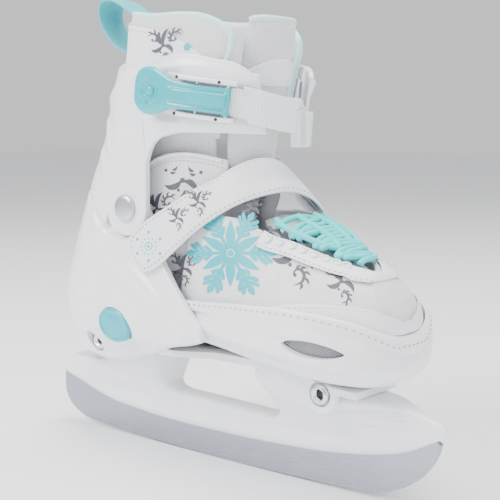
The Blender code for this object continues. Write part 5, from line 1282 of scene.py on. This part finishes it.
@dataclass
class ToeHalf:
    """Toe shell, textile upper with its trim, lower tongue and laces."""
    rows: int = 60
    stations: int = 220

    def relief(self, x: Array, z: Array) -> Array:
        """Rim bead, the long grooves under it and the fold over the bilge."""
        rim = smooth(x, TOE_RIM)
        made = 0.5 * np.exp(-((z - rim + 2.6) / 2.2) ** 2)
        made -= 0.5 * np.exp(-((z - rim + 6.4) / 1.3) ** 2)
        return folds(x, z, [
            ([(2, 84), (25, 82.5), (48, 81.5), (66, 79.5), (74, 78)], 1.7, -1.1),
            ([(2, 81), (26, 78), (50, 75.5), (66, 73.5), (84, 71), (100, 68)], 2.4, 1.0),
            ([(10, 74), (34, 70), (60, 68), (84, 64.5), (104, 61)], 2.4, -0.8),
            ([(66, 81), (78, 81.5), (92, 80.5), (103, 75)], 1.8, 0.8),
        ], made)

    def shell(self) -> None:
        """Toe shell with its two vents, and the mesh behind them."""
        u = mirrored(np.concatenate([np.linspace(0, 1, self.stations // 4),
                                     np.linspace(1, 2, self.stations // 4)[1:]]))
        zero, one = np.zeros(len(u)), np.ones(len(u))
        points = wall(toe_cup, u, zero, one, TOE_WALL, 0.9, self.rows, per_mm=1 / 42,
                      u_mm=72, relief=self.relief, loop=False)
        shell = grids("toe_shell_form", [points], SHELL, "toe_half", wrap=False)
        turn = circle(64)
        along = 14.0 * np.cos(turn)
        up = 3.6 * np.sin(turn) * np.abs(np.sin(turn)) ** 0.5
        ring = list(zip(84.0 + along, 76.0 - 0.12 * along + up))
        for sign in (-1, 1):
            cut_prism(shell, ring, sign, 18)
        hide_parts("toe_shell")
        for sign, word in ((1, "outer"), (-1, "inner")):
            u = sign * np.linspace(0.46, 0.97, 60)
            mesh = wall(toe_cup, u, 0 * u + 0.62, 0 * u + 0.86, 0.6, 0.25, 24, per_mm=1 / 42,
                        u_mm=72, shift=lambda x, z: 0 * x - TOE_WALL - 0.5)
            grids("vent_mesh_%s_net" % word, [mesh], VENT_MESH, "toe_half",
                  stands_for="vent_mesh_" + word)
        u = np.concatenate([np.linspace(-1.9, -1, 90), np.linspace(-1, 1, 170)[1:-1],
                            np.linspace(1, 1.9, 90)])
        stitches("rim_stitching", toe_cup, [(u, 0 * u + 0.955)], THREAD, "toe_half", 3.6, 1.3,
                 0.38, off=0.35)

    def upper(self) -> None:
        """Textile vamp, one closed sheet from the throat's edge down into the shell."""
        start, low_angle, columns = 4.0, 104, 70
        t = np.linspace(0, 1, 170)[:, None]
        share = np.linspace(0, 1, columns)
        s_top = start + (THROAT_END - start) * t
        top = np.radians(smooth(s_top, THROAT))
        s_low = np.where(t < 0.62, (start - 8) + (TOE_ARC - start + 8) * t / 0.62,
                         TOE_ARC + 90 * (t - 0.62) / 0.38)
        s = s_top + (s_low - s_top) * share ** 0.8
        theta = top + (np.radians(low_angle) - top) * share
        loop = []
        for off in (0.0, -1.6):
            half = foot(s, theta, off + 0 * s)
            half[-1, :, 1] = 0
            other = half[::-1].copy()
            other[..., 1] *= -1
            loop.append(np.concatenate([half, other[1:]]))
        sheet = np.concatenate([loop[0], (loop[0][:, -1:] + loop[1][:, -1:]) / 2,
                                loop[1][:, ::-1], (loop[0][:, :1] + loop[1][:, :1]) / 2], 1)
        mate = (sheet.shape[1] - 2 - np.arange(sheet.shape[1])) % sheet.shape[1]
        ends = [(row + row[:, mate]) / 2 for row in (sheet[:1], sheet[-1:])]
        vamp = grids("vamp_cloth", [np.concatenate([ends[0], sheet, ends[1]])], CLOTH,
                     "toe_half", stands_for="vamp")
        self.trim()

    def trim(self) -> None:
        """Eyestay round the throat, rand over the toe, and their stitching."""
        t = np.linspace(0, 1, 90)[:, None]
        s = 45.0 + (THROAT_END - 46.0) * t
        theta = np.radians(smooth(s, THROAT))
        wide = math.radians(12.0) * (1 + 0.5 * t)
        k = np.linspace(0, 1, 12)
        base = (s + 4.0 * t ** 3 + 5 * k * (s > 90), theta + wide * k)
        stay = self.band(base, 0.8, 1.9)
        grids("eyestay_band", [stay], LEATHER, "toe_half", stands_for="eyestay")
        rows = [((s + 4.0 * t ** 3 + 5 * at * (s > 90))[:, 0], (theta + wide * at)[:, 0])
                for at in (0.14, 0.86)]
        both = rows + [(a, -b) for a, b in rows]
        stitches("eyestay_stitching", foot, both, THREAD, "toe_half", 2.4, 1.5, 0.22, off=1.95)
        s = np.concatenate([np.linspace(44, TOE_ARC, 30), TOE_ARC + np.linspace(1, 84, 90)])
        tops = np.radians(smooth(s, [(44, 88), (60, 78), (95, 62), (130, 48), (150, 40)]))
        theta = tops[:, None] + (np.radians(84) - tops)[:, None] * k
        rand = self.band((s[:, None] + 0 * theta, theta), 0.3, 1.15, join=True)
        grids("toe_rand_band", [rand], LEATHER, "toe_half", stands_for="toe_rand")
        low = tops + math.radians(2.6)
        stitches("rand_stitching", foot, [(s, low), (s, -low)], THREAD, "toe_half", 2.5, 1.5,
                 0.24, off=1.2)

    def band(self, base: tuple[Array, Array], low: float, high: float,
             join: bool = False) -> Array:
        """Closed strip on the upper, on both sides and joined at the toe.

        Its section is a superellipse between low and high over the cloth.
        """
        turn = circle(36)
        k = across(turn, 0.8) * (base[0].shape[1] - 1)
        i = np.clip(k.astype(int), 0, base[0].shape[1] - 2)
        f = k - i
        s, theta = (b[:, i] * (1 - f) + b[:, i + 1] * f for b in base)
        off = (low + high) / 2 + (high - low) / 2 * power(np.sin(turn), 0.5)
        one = foot(s, theta, off + 0 * s)
        if not join:
            one[-1, :, 1] = 0
        other = one[::-1].copy()
        other[..., 1] *= -1
        return np.concatenate([one, other if join else other[1:]])

    def prints(self) -> None:
        """Snow crystal and curls on the outer side of the vamp, and a crystal on the inner."""
        flake = [g + (-9.2, -1.5) for g in snowflake(21.5)]
        inked("vamp_crystal_print", foot, (36.0, 1.0), flake, INK_TEAL, "toe_half", 0.34)
        above = lambda p: bool(p[..., 2].min() > 87 and p[..., 0].max() < 100)
        curls = sprays((20.5, -1.5, 15.0), (-33, -9, 8.5), (0.5, 20.0, 7.0), (41, -14, 10.0))
        inked("vamp_scroll_print", foot, (50.0, 0.8), curls, INK_GREY, "toe_half", 0.2,
              keep=above)
        inked("vamp_inner_crystal_print", inner_side(foot), (36.0, 1.0), flake, INK_TEAL,
              "toe_half", 0.34)

    def laces(self) -> None:
        """Lace that crosses the throat in two strands, with two loops, and its eyelets."""
        turns = [(48, 27), (54, -25.5), (60, 24), (66, -21.5), (72, 19.5), (78, -17.5),
                 (84, 14), (89, -10)]
        fine = flow(turns, 220)
        line_of = lambda lift, dx, da: foot(fine[:, 0] + dx, np.radians(fine[:, 1] + da),
                                            lift + 0.9 * np.abs(np.sin(
                                                np.linspace(0, 14 * math.pi, 220))))
        grids("lace_cord", [pipe(line_of(1.7, 0.0, 0.0), 1.5, 14)], CORD, "toe_half",
              stands_for="lace")
        mates = [line_of(1.7, 3.1, 0.0) * np.array([1, -1, 1])]
        for side in (-1, 1):
            knots = [foot(46.0, side * math.radians(24), 2.2), foot(52.0, side * 0.42, 3.4),
                     foot(60.0, side * 0.40, 3.6), foot(68.0, side * 0.34, 3.4),
                     foot(74.0, side * 0.26, 2.9), foot(77.0, side * 0.16, 2.5),
                     foot(72.0, side * 0.12, 3.6), foot(62.0, side * 0.14, 4.2),
                     foot(50.0, side * 0.14, 3.4)]
            mates.append(flow(knots, 90))
        grids("lace_loops", [pipe(m, 1.45, 14) for m in mates], CORD, "toe_half")
        eyelets = []
        for s, _ in turns:
            for side in (-1, 1):
                edge = float(smooth(np.array(s), THROAT)) + 5
                spot, over = (foot(np.array(s), side * math.radians(edge), o)
                              for o in (1.9, 2.9))
                eyelets.append(lathe(spot, over - spot, [(-0.6, 1.3), (0.25, 1.4), (0.45, 1.9),
                                                         (0.25, 2.4), (-0.4, 2.5), (-0.6, 1.3)],
                                     20))
        grids("lace_eyelets", eyelets, WHITE_THREAD, "toe_half")

    def build(self) -> None:
        """Builds the toe half."""
        self.shell()
        self.upper()
        self.prints()
        self.laces()
        tongue_pad("tongue_toe_pad", 0.0, 0.40, 34, "toe_half", 90, "tongue_toe")
        dress("size_rack", RAIL)
        dress("rack_screw_outer rack_screw_inner", SCREW)


def tongue_pad(name: str, t0: float, t1: float, half_angle: float, body: str, rows: int,
               stands_for: str) -> None:
    """Padded part of the tongue: a closed form whose faces crown between its edges.

    Each section is a superellipse, |cos|^0.75 across and |sin|^0.6 through, and the
    thickness falls to the ends as the square root of a parabola.
    """
    turn = circle(72)
    reach = 1 - np.cos(np.linspace(0, math.pi, rows))
    t = t0 + (t1 - t0) * reach / 2
    share = (t - t0) / (t1 - t0)
    fade = np.clip(1 - np.abs(2 * share - 1) ** 14, 0, 1) ** 0.5
    corner = 1 - 0.16 * np.abs(2 * share - 1) ** 9
    psi = math.radians(half_angle) * power(np.cos(turn), 0.75) * corner[:, None]
    off = -2.5 + 2.5 * power(np.sin(turn), 0.6) * fade[:, None]
    off = off + 0.5 * (np.sin(turn) > 0) * np.cos(psi * 90 / half_angle) ** 2 * fade[:, None]
    grids(name, [tongue(t[:, None], psi, off)], RIB, body, stands_for=stands_for)


@dataclass
class Cuff:
    """Ankle cuff with its liner, tongue, pull loop, buckle and ladder strap."""
    thick: float = 2.8
    loop_half: float = 9.0

    def relief(self, x: Array, z: Array) -> Array:
        """Soft ridge of the upper band, the recess round the buckle and the post's fold."""
        made = folds(x, z, [
            ([(-60, 186), (-36, 194), (-14, 199.5), (8, 202), (24, 200.5), (35, 195)], 3.4, 1.4),
            ([(-56, 176), (-48, 160), (-40, 171), (-18, 176.5), (8, 174), (36, 173)], 2.6, 0.9),
            ([(-60, 160), (-52, 148), (-49, 137), (-48, 128)], 3.0, 0.8),
            ([(-26, 166), (-27, 154), (-24, 143), (-24, 134)], 1.8, 0.6),
        ])
        made -= 0.8 * step((x + 27) / 6) * step((41 - x) / 4) * np.exp(
            -((z - 184 + 0.16 * (x - 5)) / 10.5) ** 8)
        return made

    def shell(self) -> None:
        """Cuff shell, one wall from its lobes to its top edge."""
        post = float(column_at(CUFF_POST))
        c = mirrored(np.concatenate([np.linspace(0, post - 0.10, 46),
                                     np.linspace(post - 0.097, post - 0.003, 34),
                                     np.linspace(post - 0.002, post + 0.006, 9),
                                     np.linspace(post + 0.009, post + 0.09, 22),
                                     np.linspace(post + 0.1, float(column_at(36.5)), 40)]))
        low, high = edge_height(c, 0, cuff_low), edge_height(c, 0, line(CUFF_TOP))
        grids("cuff_shell_form", [wall(shaft, c, low, high, self.thick, 1.0, 64,
                                       relief=self.relief)], SHELL, "cuff",
              stands_for="cuff_shell")

    def band(self, name: str, front: Curve, low: Curve, high: Curve, outer: Curve,
             inner: Curve, finish: Finish, body: str, fill: float = 0.0,
             columns: int = 150, rows: int = 46, stands_for: str = "") -> Piece:
        """Padded cloth band on the shaft, open at the front, with rolled edges.

        Args:
            front: x of its front edge, by height.
            low: its lower edge, by x.
            high: its upper edge, by x.
            outer: offset of its outer face, by height.
            inner: offset of its inner face, by height.
            fill: not used; the band comes out the same either way.
        """
        share = mirrored(np.linspace(0, 1, columns // 2) ** 0.9)
        edges = []
        for edge in (low, high):
            at = np.full(share.shape, 150.0)
            for _ in range(6):
                at = edge_height(share * column_at(front(at)), outer(at), edge)
            edges.append(at)
        turn = circle(2 * rows)
        part = across(turn, 0.72)
        z = edges[0][:, None] + (edges[1] - edges[0])[:, None] * part
        thin = np.sqrt(np.clip(1 - np.abs(share) ** 40, 0, 1))[:, None]
        middle, half = (outer(z) + inner(z)) / 2, (outer(z) - inner(z)) / 2
        off = middle + half * power(np.sin(turn), 0.35) * thin
        c = share[:, None] * column_at(front(z))
        made = grids(name, [shaft(c, z, off)], finish, body, stands_for=stands_for)
        return made if fill else made

    def liner(self) -> None:
        """Collar, heel liner and quarter, with the collar's panel, piping and stitching."""
        front = line(LINER_FRONT)
        deep = lambda z: liner_off(z) - 4.0 - 3.0 * step((z - 176) / 12)
        split = lambda angle, lift: (lambda x: ANKLE[1] + np.where(
            x > ANKLE[0], math.tan(math.radians(angle)) * (x - ANKLE[0]),
            0.06 * (ANKLE[0] - x)) + lift)
        self.band("collar_pad", front, split(24.0, 2.4), line(COLLAR_TOP), liner_off, deep, RIB,
                  "cuff", 0.8, 190, 60, stands_for="liner_collar")
        self.band("heel_liner_pad", front, lambda x: 72.6 + 0.10 * np.maximum(x + 50, 0),
                  split(14.0, -0.6), liner_off, deep, LINING, "base", 0.7,
                  stands_for="liner_heel")
        self.band("quarter_cloth", line(QUARTER_FRONT), line(QUARTER_LOW), line(QUARTER_TOP),
                  lambda z: -8.8 + 0 * z, lambda z: -10.1 + 0 * z, CLOTH, "base",
                  stands_for="quarter")
        x = np.linspace(-46, 18, 90)
        edge = smooth(x, QUARTER_TOP)
        on = lambda a, b, o: shaft(column_at(a), b, np.asarray(o) - 8.8)
        sides = (("outer", on), ("inner", inner_side(on)))
        rims = [pipe(place(x, edge - 0.4, 0.1), 1.0, 10) for _, place in sides]
        grids("quarter_piping", rims, PIPING, "base")
        for word, place in sides:
            stitches("quarter_stitching_" + word, place, [(x, edge - 3.6)], THREAD, "base", 2.3,
                     1.4, 0.22, off=0.1)
        self.collar_trim()
        curls = sprays((-33.5, 34.5, 13.5), (-47, 21, 9.5))
        low = lambda p: bool((p[..., 2] < smooth(p[..., 0], QUARTER_TOP) - 4.5).all()
                             and p[..., 0].max() < 17 and p[..., 0].min() > -40)
        inked("quarter_scroll_print", on, (-5.0, 140.0), curls, INK_GREY, "base", 0.2, keep=low)

    def collar_trim(self) -> None:
        """Collar panel of leatherette, mint piping on its edges, stitching and print."""
        on = lambda a, b, o: shaft(column_at(a), b, np.asarray(o) + liner_off(np.asarray(b)))
        top = lambda x: smooth(x, COLLAR_TOP)
        share = np.linspace(-1, 1, 260)
        front = line(LINER_FRONT)
        z = np.full(share.shape, 226.0)
        for _ in range(6):
            z = edge_height(share * column_at(front(z)), liner_off(z), top)
        c = share * column_at(front(z))
        ridge = shaft(c, z - 0.2, liner_off(z) - 2.6)
        down = np.linspace(0, 1, 60)
        heights = z[-1] + (168.0 - z[-1]) * down
        fronts = [shaft(sign * column_at(front(heights)), heights, liner_off(heights) - 2.2)
                  for sign in (1, -1)]
        whole = np.concatenate([fronts[1][::-1], ridge[1:-1], fronts[0]])
        grids("collar_piping", [pipe(flow(even(whole, 4.0), 420), 1.7, 12)], MINT, "cuff")
        x = np.linspace(-60, 27, 120)
        curve = smooth(x, [(-60, 226), (-48, 224.6), (-30, 222.5), (-14, 219.5), (0, 214.5),
                           (12, 207.5), (27, 196)])
        turn = circle(48)
        low = 184.0
        part = across(turn, 0.7)
        h = low + (curve - low)[:, None] * part
        lift = 0.25 + 0.55 * power(np.sin(turn), 0.4)
        panels = [shaft(sign * column_at(x)[:, None] + 0 * h, h, liner_off(h) + lift)
                  for sign in (1, -1)]
        back = np.linspace(-1, 1, 60)[:, None] * column_at(-59.0)
        h = low + (226.0 - low) * part + 0 * back
        panels.append(shaft(back + 0 * h, h, liner_off(h) + lift))
        grids("collar_panel", panels, LEATHER, "cuff")
        for word, place in (("outer", on), ("inner", inner_side(on))):
            stitches("collar_stitching_" + word, place, [(x, curve - 2.2)], THREAD, "cuff", 2.6,
                     1.6, 0.24, off=0.85)
        inked("collar_scroll_print", on, (-25.0, 212.0), sprays((-41.5, 99.0, 9.0)), INK_GREY,
              "cuff", 1.0)
        inked("collar_dot_print", on, (-12.0, 212.0), [disc(-29.5, 96.6, 1.7)], INK_TEAL,
              "cuff", 1.0)

    def tongue(self) -> None:
        """Upper tongue: padded mesh, a leatherette lower panel and mint piping on top."""
        tongue_pad("tongue_top_pad", 0.545, 1.0, 50, "cuff", 120, "tongue_top")
        psi = np.radians(np.linspace(-46, 46, 120))
        top = tongue(0.995 - 0.012 * np.abs(psi / 0.8) ** 5, psi, -2.0)
        grids("tongue_piping", [pipe(top, 1.7, 12)], MINT, "cuff")
        psi = np.radians(np.linspace(-44, 44, 90))[:, None]
        turn = circle(40)
        part = across(turn, 0.7)
        edge = 0.885 - 0.05 * (np.degrees(psi) / 44) ** 2
        t = 0.80 + (edge - 0.80) * part
        off = 0.75 + 0.45 * power(np.sin(turn), 0.4)
        grids("tongue_panel", [tongue(t, psi + 0 * t, off)], LEATHER, "cuff")
        psi = np.radians(np.linspace(-42, 42, 80))
        seam = 0.872 - 0.05 * (np.degrees(psi) / 44) ** 2
        stitches("tongue_stitching", tongue, [(seam, psi)], THREAD, "cuff", 2.5, 1.5, 0.24,
                 off=1.3)

    def pull_loop(self) -> None:
        """Folded webbing loop at the back, of one flat band with rounded edges."""
        path = flow([(-54.2, 213.8), (-64, 213.8), (-73.5, 218), (-81.5, 226.5), (-84.5, 234),
                     (-83, 239.4), (-77, 240.4), (-69, 237.2), (-60, 231.6), (-52.8, 227)], 110)
        run = np.gradient(path, axis=0)
        run /= np.linalg.norm(run, axis=1, keepdims=True)
        turn = circle(40)
        y = self.loop_half * power(np.cos(turn), 0.8)
        off = 0.8 + 0.8 * power(np.sin(turn), 0.5)
        x = path[:, :1] - off * run[:, 1:]
        z = path[:, 1:] + off * run[:, :1]
        band = np.stack([x, np.broadcast_to(y, x.shape), z], -1)
        grids("pull_loop_webbing", [capped(band)], WEBBING, "cuff", stands_for="pull_loop")

    def slab(self, s: Array, half: Array, low: Array, high: Array, middle: float = 0.0,
             dish: Optional[Relief] = None,
             around: int = 56, square: float = 0.5) -> Array:
        """Closed form over the cuff with superellipse sections.

        Args:
            s: stations along the buckle.
            half: half height at each.
            low: lower face over the cuff.
            high: upper face over the cuff.
            middle: where its middle line lies.
            dish: lowers the upper face, by s and t.
            around: points round the section.
            square: how square the section is, less being squarer.
        """
        turn = circle(around)
        t = middle + half[:, None] * power(np.cos(turn), square)
        off = ((low + high) / 2)[:, None] + ((high - low) / 2)[:, None] * power(np.sin(turn),
                                                                              square)
        if dish is not None:
            off = off - dish(s[:, None] + 0 * t, t) * (np.sin(turn) > 0)
        return capped(buckle(s[:, None], t, off))

    def buckle_parts(self) -> None:
        """Buckle base with its rails, lever with the finger dish and rib, and rivets."""
        s = np.linspace(-36, 3, 60)
        one = np.ones(60)
        base = self.slab(s, 9.6 * one * np.clip((s + 37.5) / 6, 0.3, 1) ** 0.4, 0.4 * one,
                         1.5 * one, square=0.3)
        sr = np.linspace(-25, 3, 44)
        lone = np.ones(44)
        rise = 1.2 + 6.2 * step((sr + 26.5) / 5)
        rails = [self.slab(sr, 1.25 * lone, 0.8 * lone, rise, middle=sign * 8.6, around=28)
                 for sign in (-1, 1)]
        grids("buckle_frame", [base] + rails, SHELL, "cuff", stands_for="buckle_base")
        s = np.linspace(-47.5, 0, 150)
        shape = [-47.5, -46.6, -44, -40, -36, -32, -28, -24.5, -21, -17, -12, -7, -3, 0]
        half = smooth(s, list(zip(shape, [2.5, 6, 9.4, 11.2, 11.4, 10.2, 8.4, 7.0, 6.4, 6.2,
                                          6.0, 6.0, 6.0, 6.0])))
        low = smooth(s, list(zip(shape, [4.4, 4.2, 4.0, 3.8, 3.8, 4.6, 5.6, 6.4, 6.8, 7.2,
                                         7.2, 7.0, 6.6, 6.4])))
        thick = smooth(s, list(zip(shape, [2, 3, 3.8, 4.2, 4.4, 4.0, 3.2, 2.6, 2.4, 2.2, 2.0,
                                           1.8, 1.6, 1.2])))

        def dish(a: Array, b: Array) -> Array:
            """Diamond dish in the head: depth falls with |a| + |b|; a rib along the arm."""
            diamond = np.clip(1.12 - np.abs(a + 37.0) / 8.2 - np.abs(b) / 7.4, 0, 1)
            made = 1.7 * step(diamond * 2.6)
            rib = step((a + 25) / 3) * step((1 - np.abs(b) / 3.4) * 4)
            groove = np.exp(-((np.abs(b) - 3.9) / 0.5) ** 2) * step((a + 27) / 3)
            return made + 0.45 * groove - 0.75 * rib

        lever = self.slab(s, half, low, low + thick, dish=dish, around=150, square=0.42)
        a, b = (buckle(0, t, 5.8) for t in (-6.6, 6.6))
        barrel = lathe(a, b - a, [(0, 0.0), (0, 1.9), (13.2, 1.9), (13.2, 0.0)], 28)
        grids("lever_body", [lever, barrel], TEAL, "lever", stands_for="buckle_lever")
        middle, over = buckle(-37.0, 0, 6.2), buckle(-37.0, 0, 8.2)
        grids("lever_boss", [lathe(middle, over - middle, [(0, 0.0), (0, 2.3), (0.6, 2.4),
              (1.3, 2.0), (1.6, 1.1), (1.65, 0.0)], 32)], TEAL, "lever")
        dress("lever_pin pawl_pin", SCREW)
        dress("buckle_rivet_1 buckle_rivet_2 strap_rivet", RIVET)
        dress("ratchet_pawl", SHELL)
        screws = []
        for sign in (-1, 1):
            for at in (-3.0, -22.0):
                foot_of, over = (buckle(at, sign * 8.6, o) for o in (7.0, 8.0))
                screws.append(lathe(foot_of, over - foot_of, [(0, 0.0), (0, 0.9), (0.5, 0.8),
                                                             (0.6, 0.0)], 16))
        grids("buckle_frame_pins", screws, SOCKET, "cuff")

    def ladder(self) -> None:
        """Ladder strap with fine ribs near its free end and a folded edge."""
        full = np.concatenate([np.linspace(0.735, 1.0, 150), 2 - np.linspace(0.72, 0.998,
                                                                             110)[::-1]])
        c = np.where(full <= 1, full, full - 2)
        middle = smooth(full, [(0.70, 186.5), (0.77, 184.4), (0.84, 181.4), (0.93, 176.0),
                               (1.0, 172.6), (1.1, 171.8), (1.3, 173)])
        lift = smooth(full, [(0.70, 2.0), (0.82, 2.1), (0.88, 2.3), (0.925, 1.3), (0.96, 0.7),
                             (1.3, 0.6)])
        half = np.where(full < 0.80, 0.80, 1.0) * 8.6
        turn = circle(56)
        z = middle[:, None] + half[:, None] * power(np.cos(turn), 0.4)
        ribs = 0.35 * step((full - 0.90) / 0.012) * step((1.02 - full) / 0.012) * np.abs(
            np.sin(full * 520))
        teeth = 0.45 * step((0.86 - full) / 0.01) * np.abs(np.sin(full * 420))
        off = lift[:, None] + 0.8 + (0.8 + (ribs + teeth)[:, None] * (np.sin(turn) > 0)
                                     ) * power(np.sin(turn), 0.4)
        grids("ladder_strap_form", [capped(shaft(c[:, None], z, off))], SHELL, "cuff",
              stands_for="ladder_strap")

    def build(self) -> None:
        """Builds the cuff's parts."""
        self.shell()
        self.liner()
        self.tongue()
        self.pull_loop()
        self.buckle_parts()
        self.ladder()


@dataclass
class InstepStrap:
    """Hook-and-loop strap over the instep, with its base strap."""
    thick: float = 2.2

    def sheet(self, t0: float, t1: float, width: float, low: float, high: float,
              count: int = 170) -> Array:
        """Closed strap: superellipse sections, and a round end where it starts."""
        t = np.linspace(t0, t1, count)
        turn = circle(56)
        round_end = np.sqrt(np.clip(1 - np.clip(1 - (t - t0) / 0.045, 0, 1) ** 2.6, 0, 1))
        w = width * power(np.cos(turn), 0.6) * (0.25 + 0.75 * round_end)[:, None]
        off = (low + high) / 2 + (high - low) / 2 * power(np.sin(turn), 0.45) + 0 * w
        return capped(instep(t[:, None] + 0 * w, w, off))

    def build(self) -> None:
        """Makes the strap, its stitching and prints, and the base strap under it."""
        grids("instep_strap_form", [self.sheet(0, 1, 1.0, -self.thick, 0.0)], LEATHER,
              "instep_strap_body", stands_for="instep_strap")
        grids("strap_base_form", [self.sheet(0.24, 0.9, 0.7, -3.7, -2.7)], GREY, "toe_half",
              stands_for="strap_base")
        t = np.linspace(0.05, 0.97, 200)
        end = np.radians(np.linspace(-86, 86, 40))
        rows = [(t, 0 * t - 0.84), (t, 0 * t + 0.84),
                (0.05 - 0.028 * np.cos(end), 0.82 * np.sin(end))]
        stitches("instep_strap_stitching", instep, rows, THREAD, "instep_strap_body", 2.5, 1.5,
                 0.24, off=0.05)
        ring = [g + (-50.0, 1.8) for g in dotted_ring(7.6)]
        inked("strap_ring_print", instep, (0.08, 0.0), ring, INK_TEAL, "instep_strap_body", 0.18)
        curls = sprays((-35.5, 15.5, 6.0), (-25.0, 23.0, 6.6))
        inked("strap_scroll_print", instep, (0.2, 0.0), curls, INK_GREY, "instep_strap_body",
              0.18)


@dataclass
class Studio:
    """Pale floor, soft lights and the camera."""
    lens: float = 77.4
    eye: tuple[float, float, float] = (361.567, -413.128, 172.730)
    target: tuple[float, float, float] = tuple(ORIGIN)
    middle: tuple[float, float, float] = (0.01, 0.0, 0.11)

    def aim(self, made: Piece, way: Vector) -> None:
        """Turns a light or the camera to look along a direction, its top up."""
        made.rotation_euler = way.to_track_quat("-Z", "Y").to_euler()

    def build(self) -> None:
        """Makes the floor, the world, three area lights and the camera."""
        mesh = bpy.data.meshes.new("floor")
        reach, level = 6.0, -0.0004
        mesh.from_pydata([(x * reach, y * reach, level) for x, y in
                          ((-1, -1), (1, -1), (1, 1), (-1, 1))], [], [(0, 1, 2, 3)])
        floor = bpy.data.objects.new("floor", mesh)
        bpy.context.scene.collection.objects.link(floor)
        pale = bpy.data.materials.new("pale_floor")
        pale.use_nodes = True
        shader = pale.node_tree.nodes["Principled BSDF"]
        shader.inputs["Base Color"].default_value = (0.93, 0.935, 0.95, 1)
        shader.inputs["Roughness"].default_value = 0.55
        mesh.materials.append(pale)
        world = bpy.data.worlds.new("studio")
        world.use_nodes = True
        ground = world.node_tree.nodes["Background"]
        ground.inputs[0].default_value = (0.97, 0.98, 1.0, 1)
        ground.inputs[1].default_value = 0.85
        bpy.context.scene.world = world
        for name, spot, size, watts in (("key", (-0.45, -0.95, 0.95), 0.7, 26.0),
                                        ("fill", (1.15, -0.35, 0.55), 0.8, 6.0),
                                        ("top", (0.1, 0.15, 1.3), 0.9, 24.0)):
            lamp = bpy.data.lights.new(name, "AREA")
            lamp.size = size
            lamp.energy = watts
            made = bpy.data.objects.new(name, lamp)
            made.location = spot
            self.aim(made, Vector(self.middle) - Vector(spot))
            bpy.context.scene.collection.objects.link(made)
        lens = bpy.data.cameras.new("camera")
        lens.lens, lens.sensor_width = self.lens, 36.0
        camera = bpy.data.objects.new("camera", lens)
        camera.location = Vector(self.eye) * MM
        self.aim(camera, Vector(self.target) - Vector(self.eye))
        bpy.context.scene.collection.objects.link(camera)
        bpy.context.scene.camera = camera


def main() -> None:
    """Builds the studio and every sub-assembly."""
    logging.basicConfig(level=logging.INFO, format="%(message)s")
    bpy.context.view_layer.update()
    for part in (Studio(), Runner(), HeelBase(), ToeHalf(), Cuff(), InstepStrap()):
        LOG.info("building %s", type(part).__name__)
        part.build()


if __name__ == "__main__":
    main()
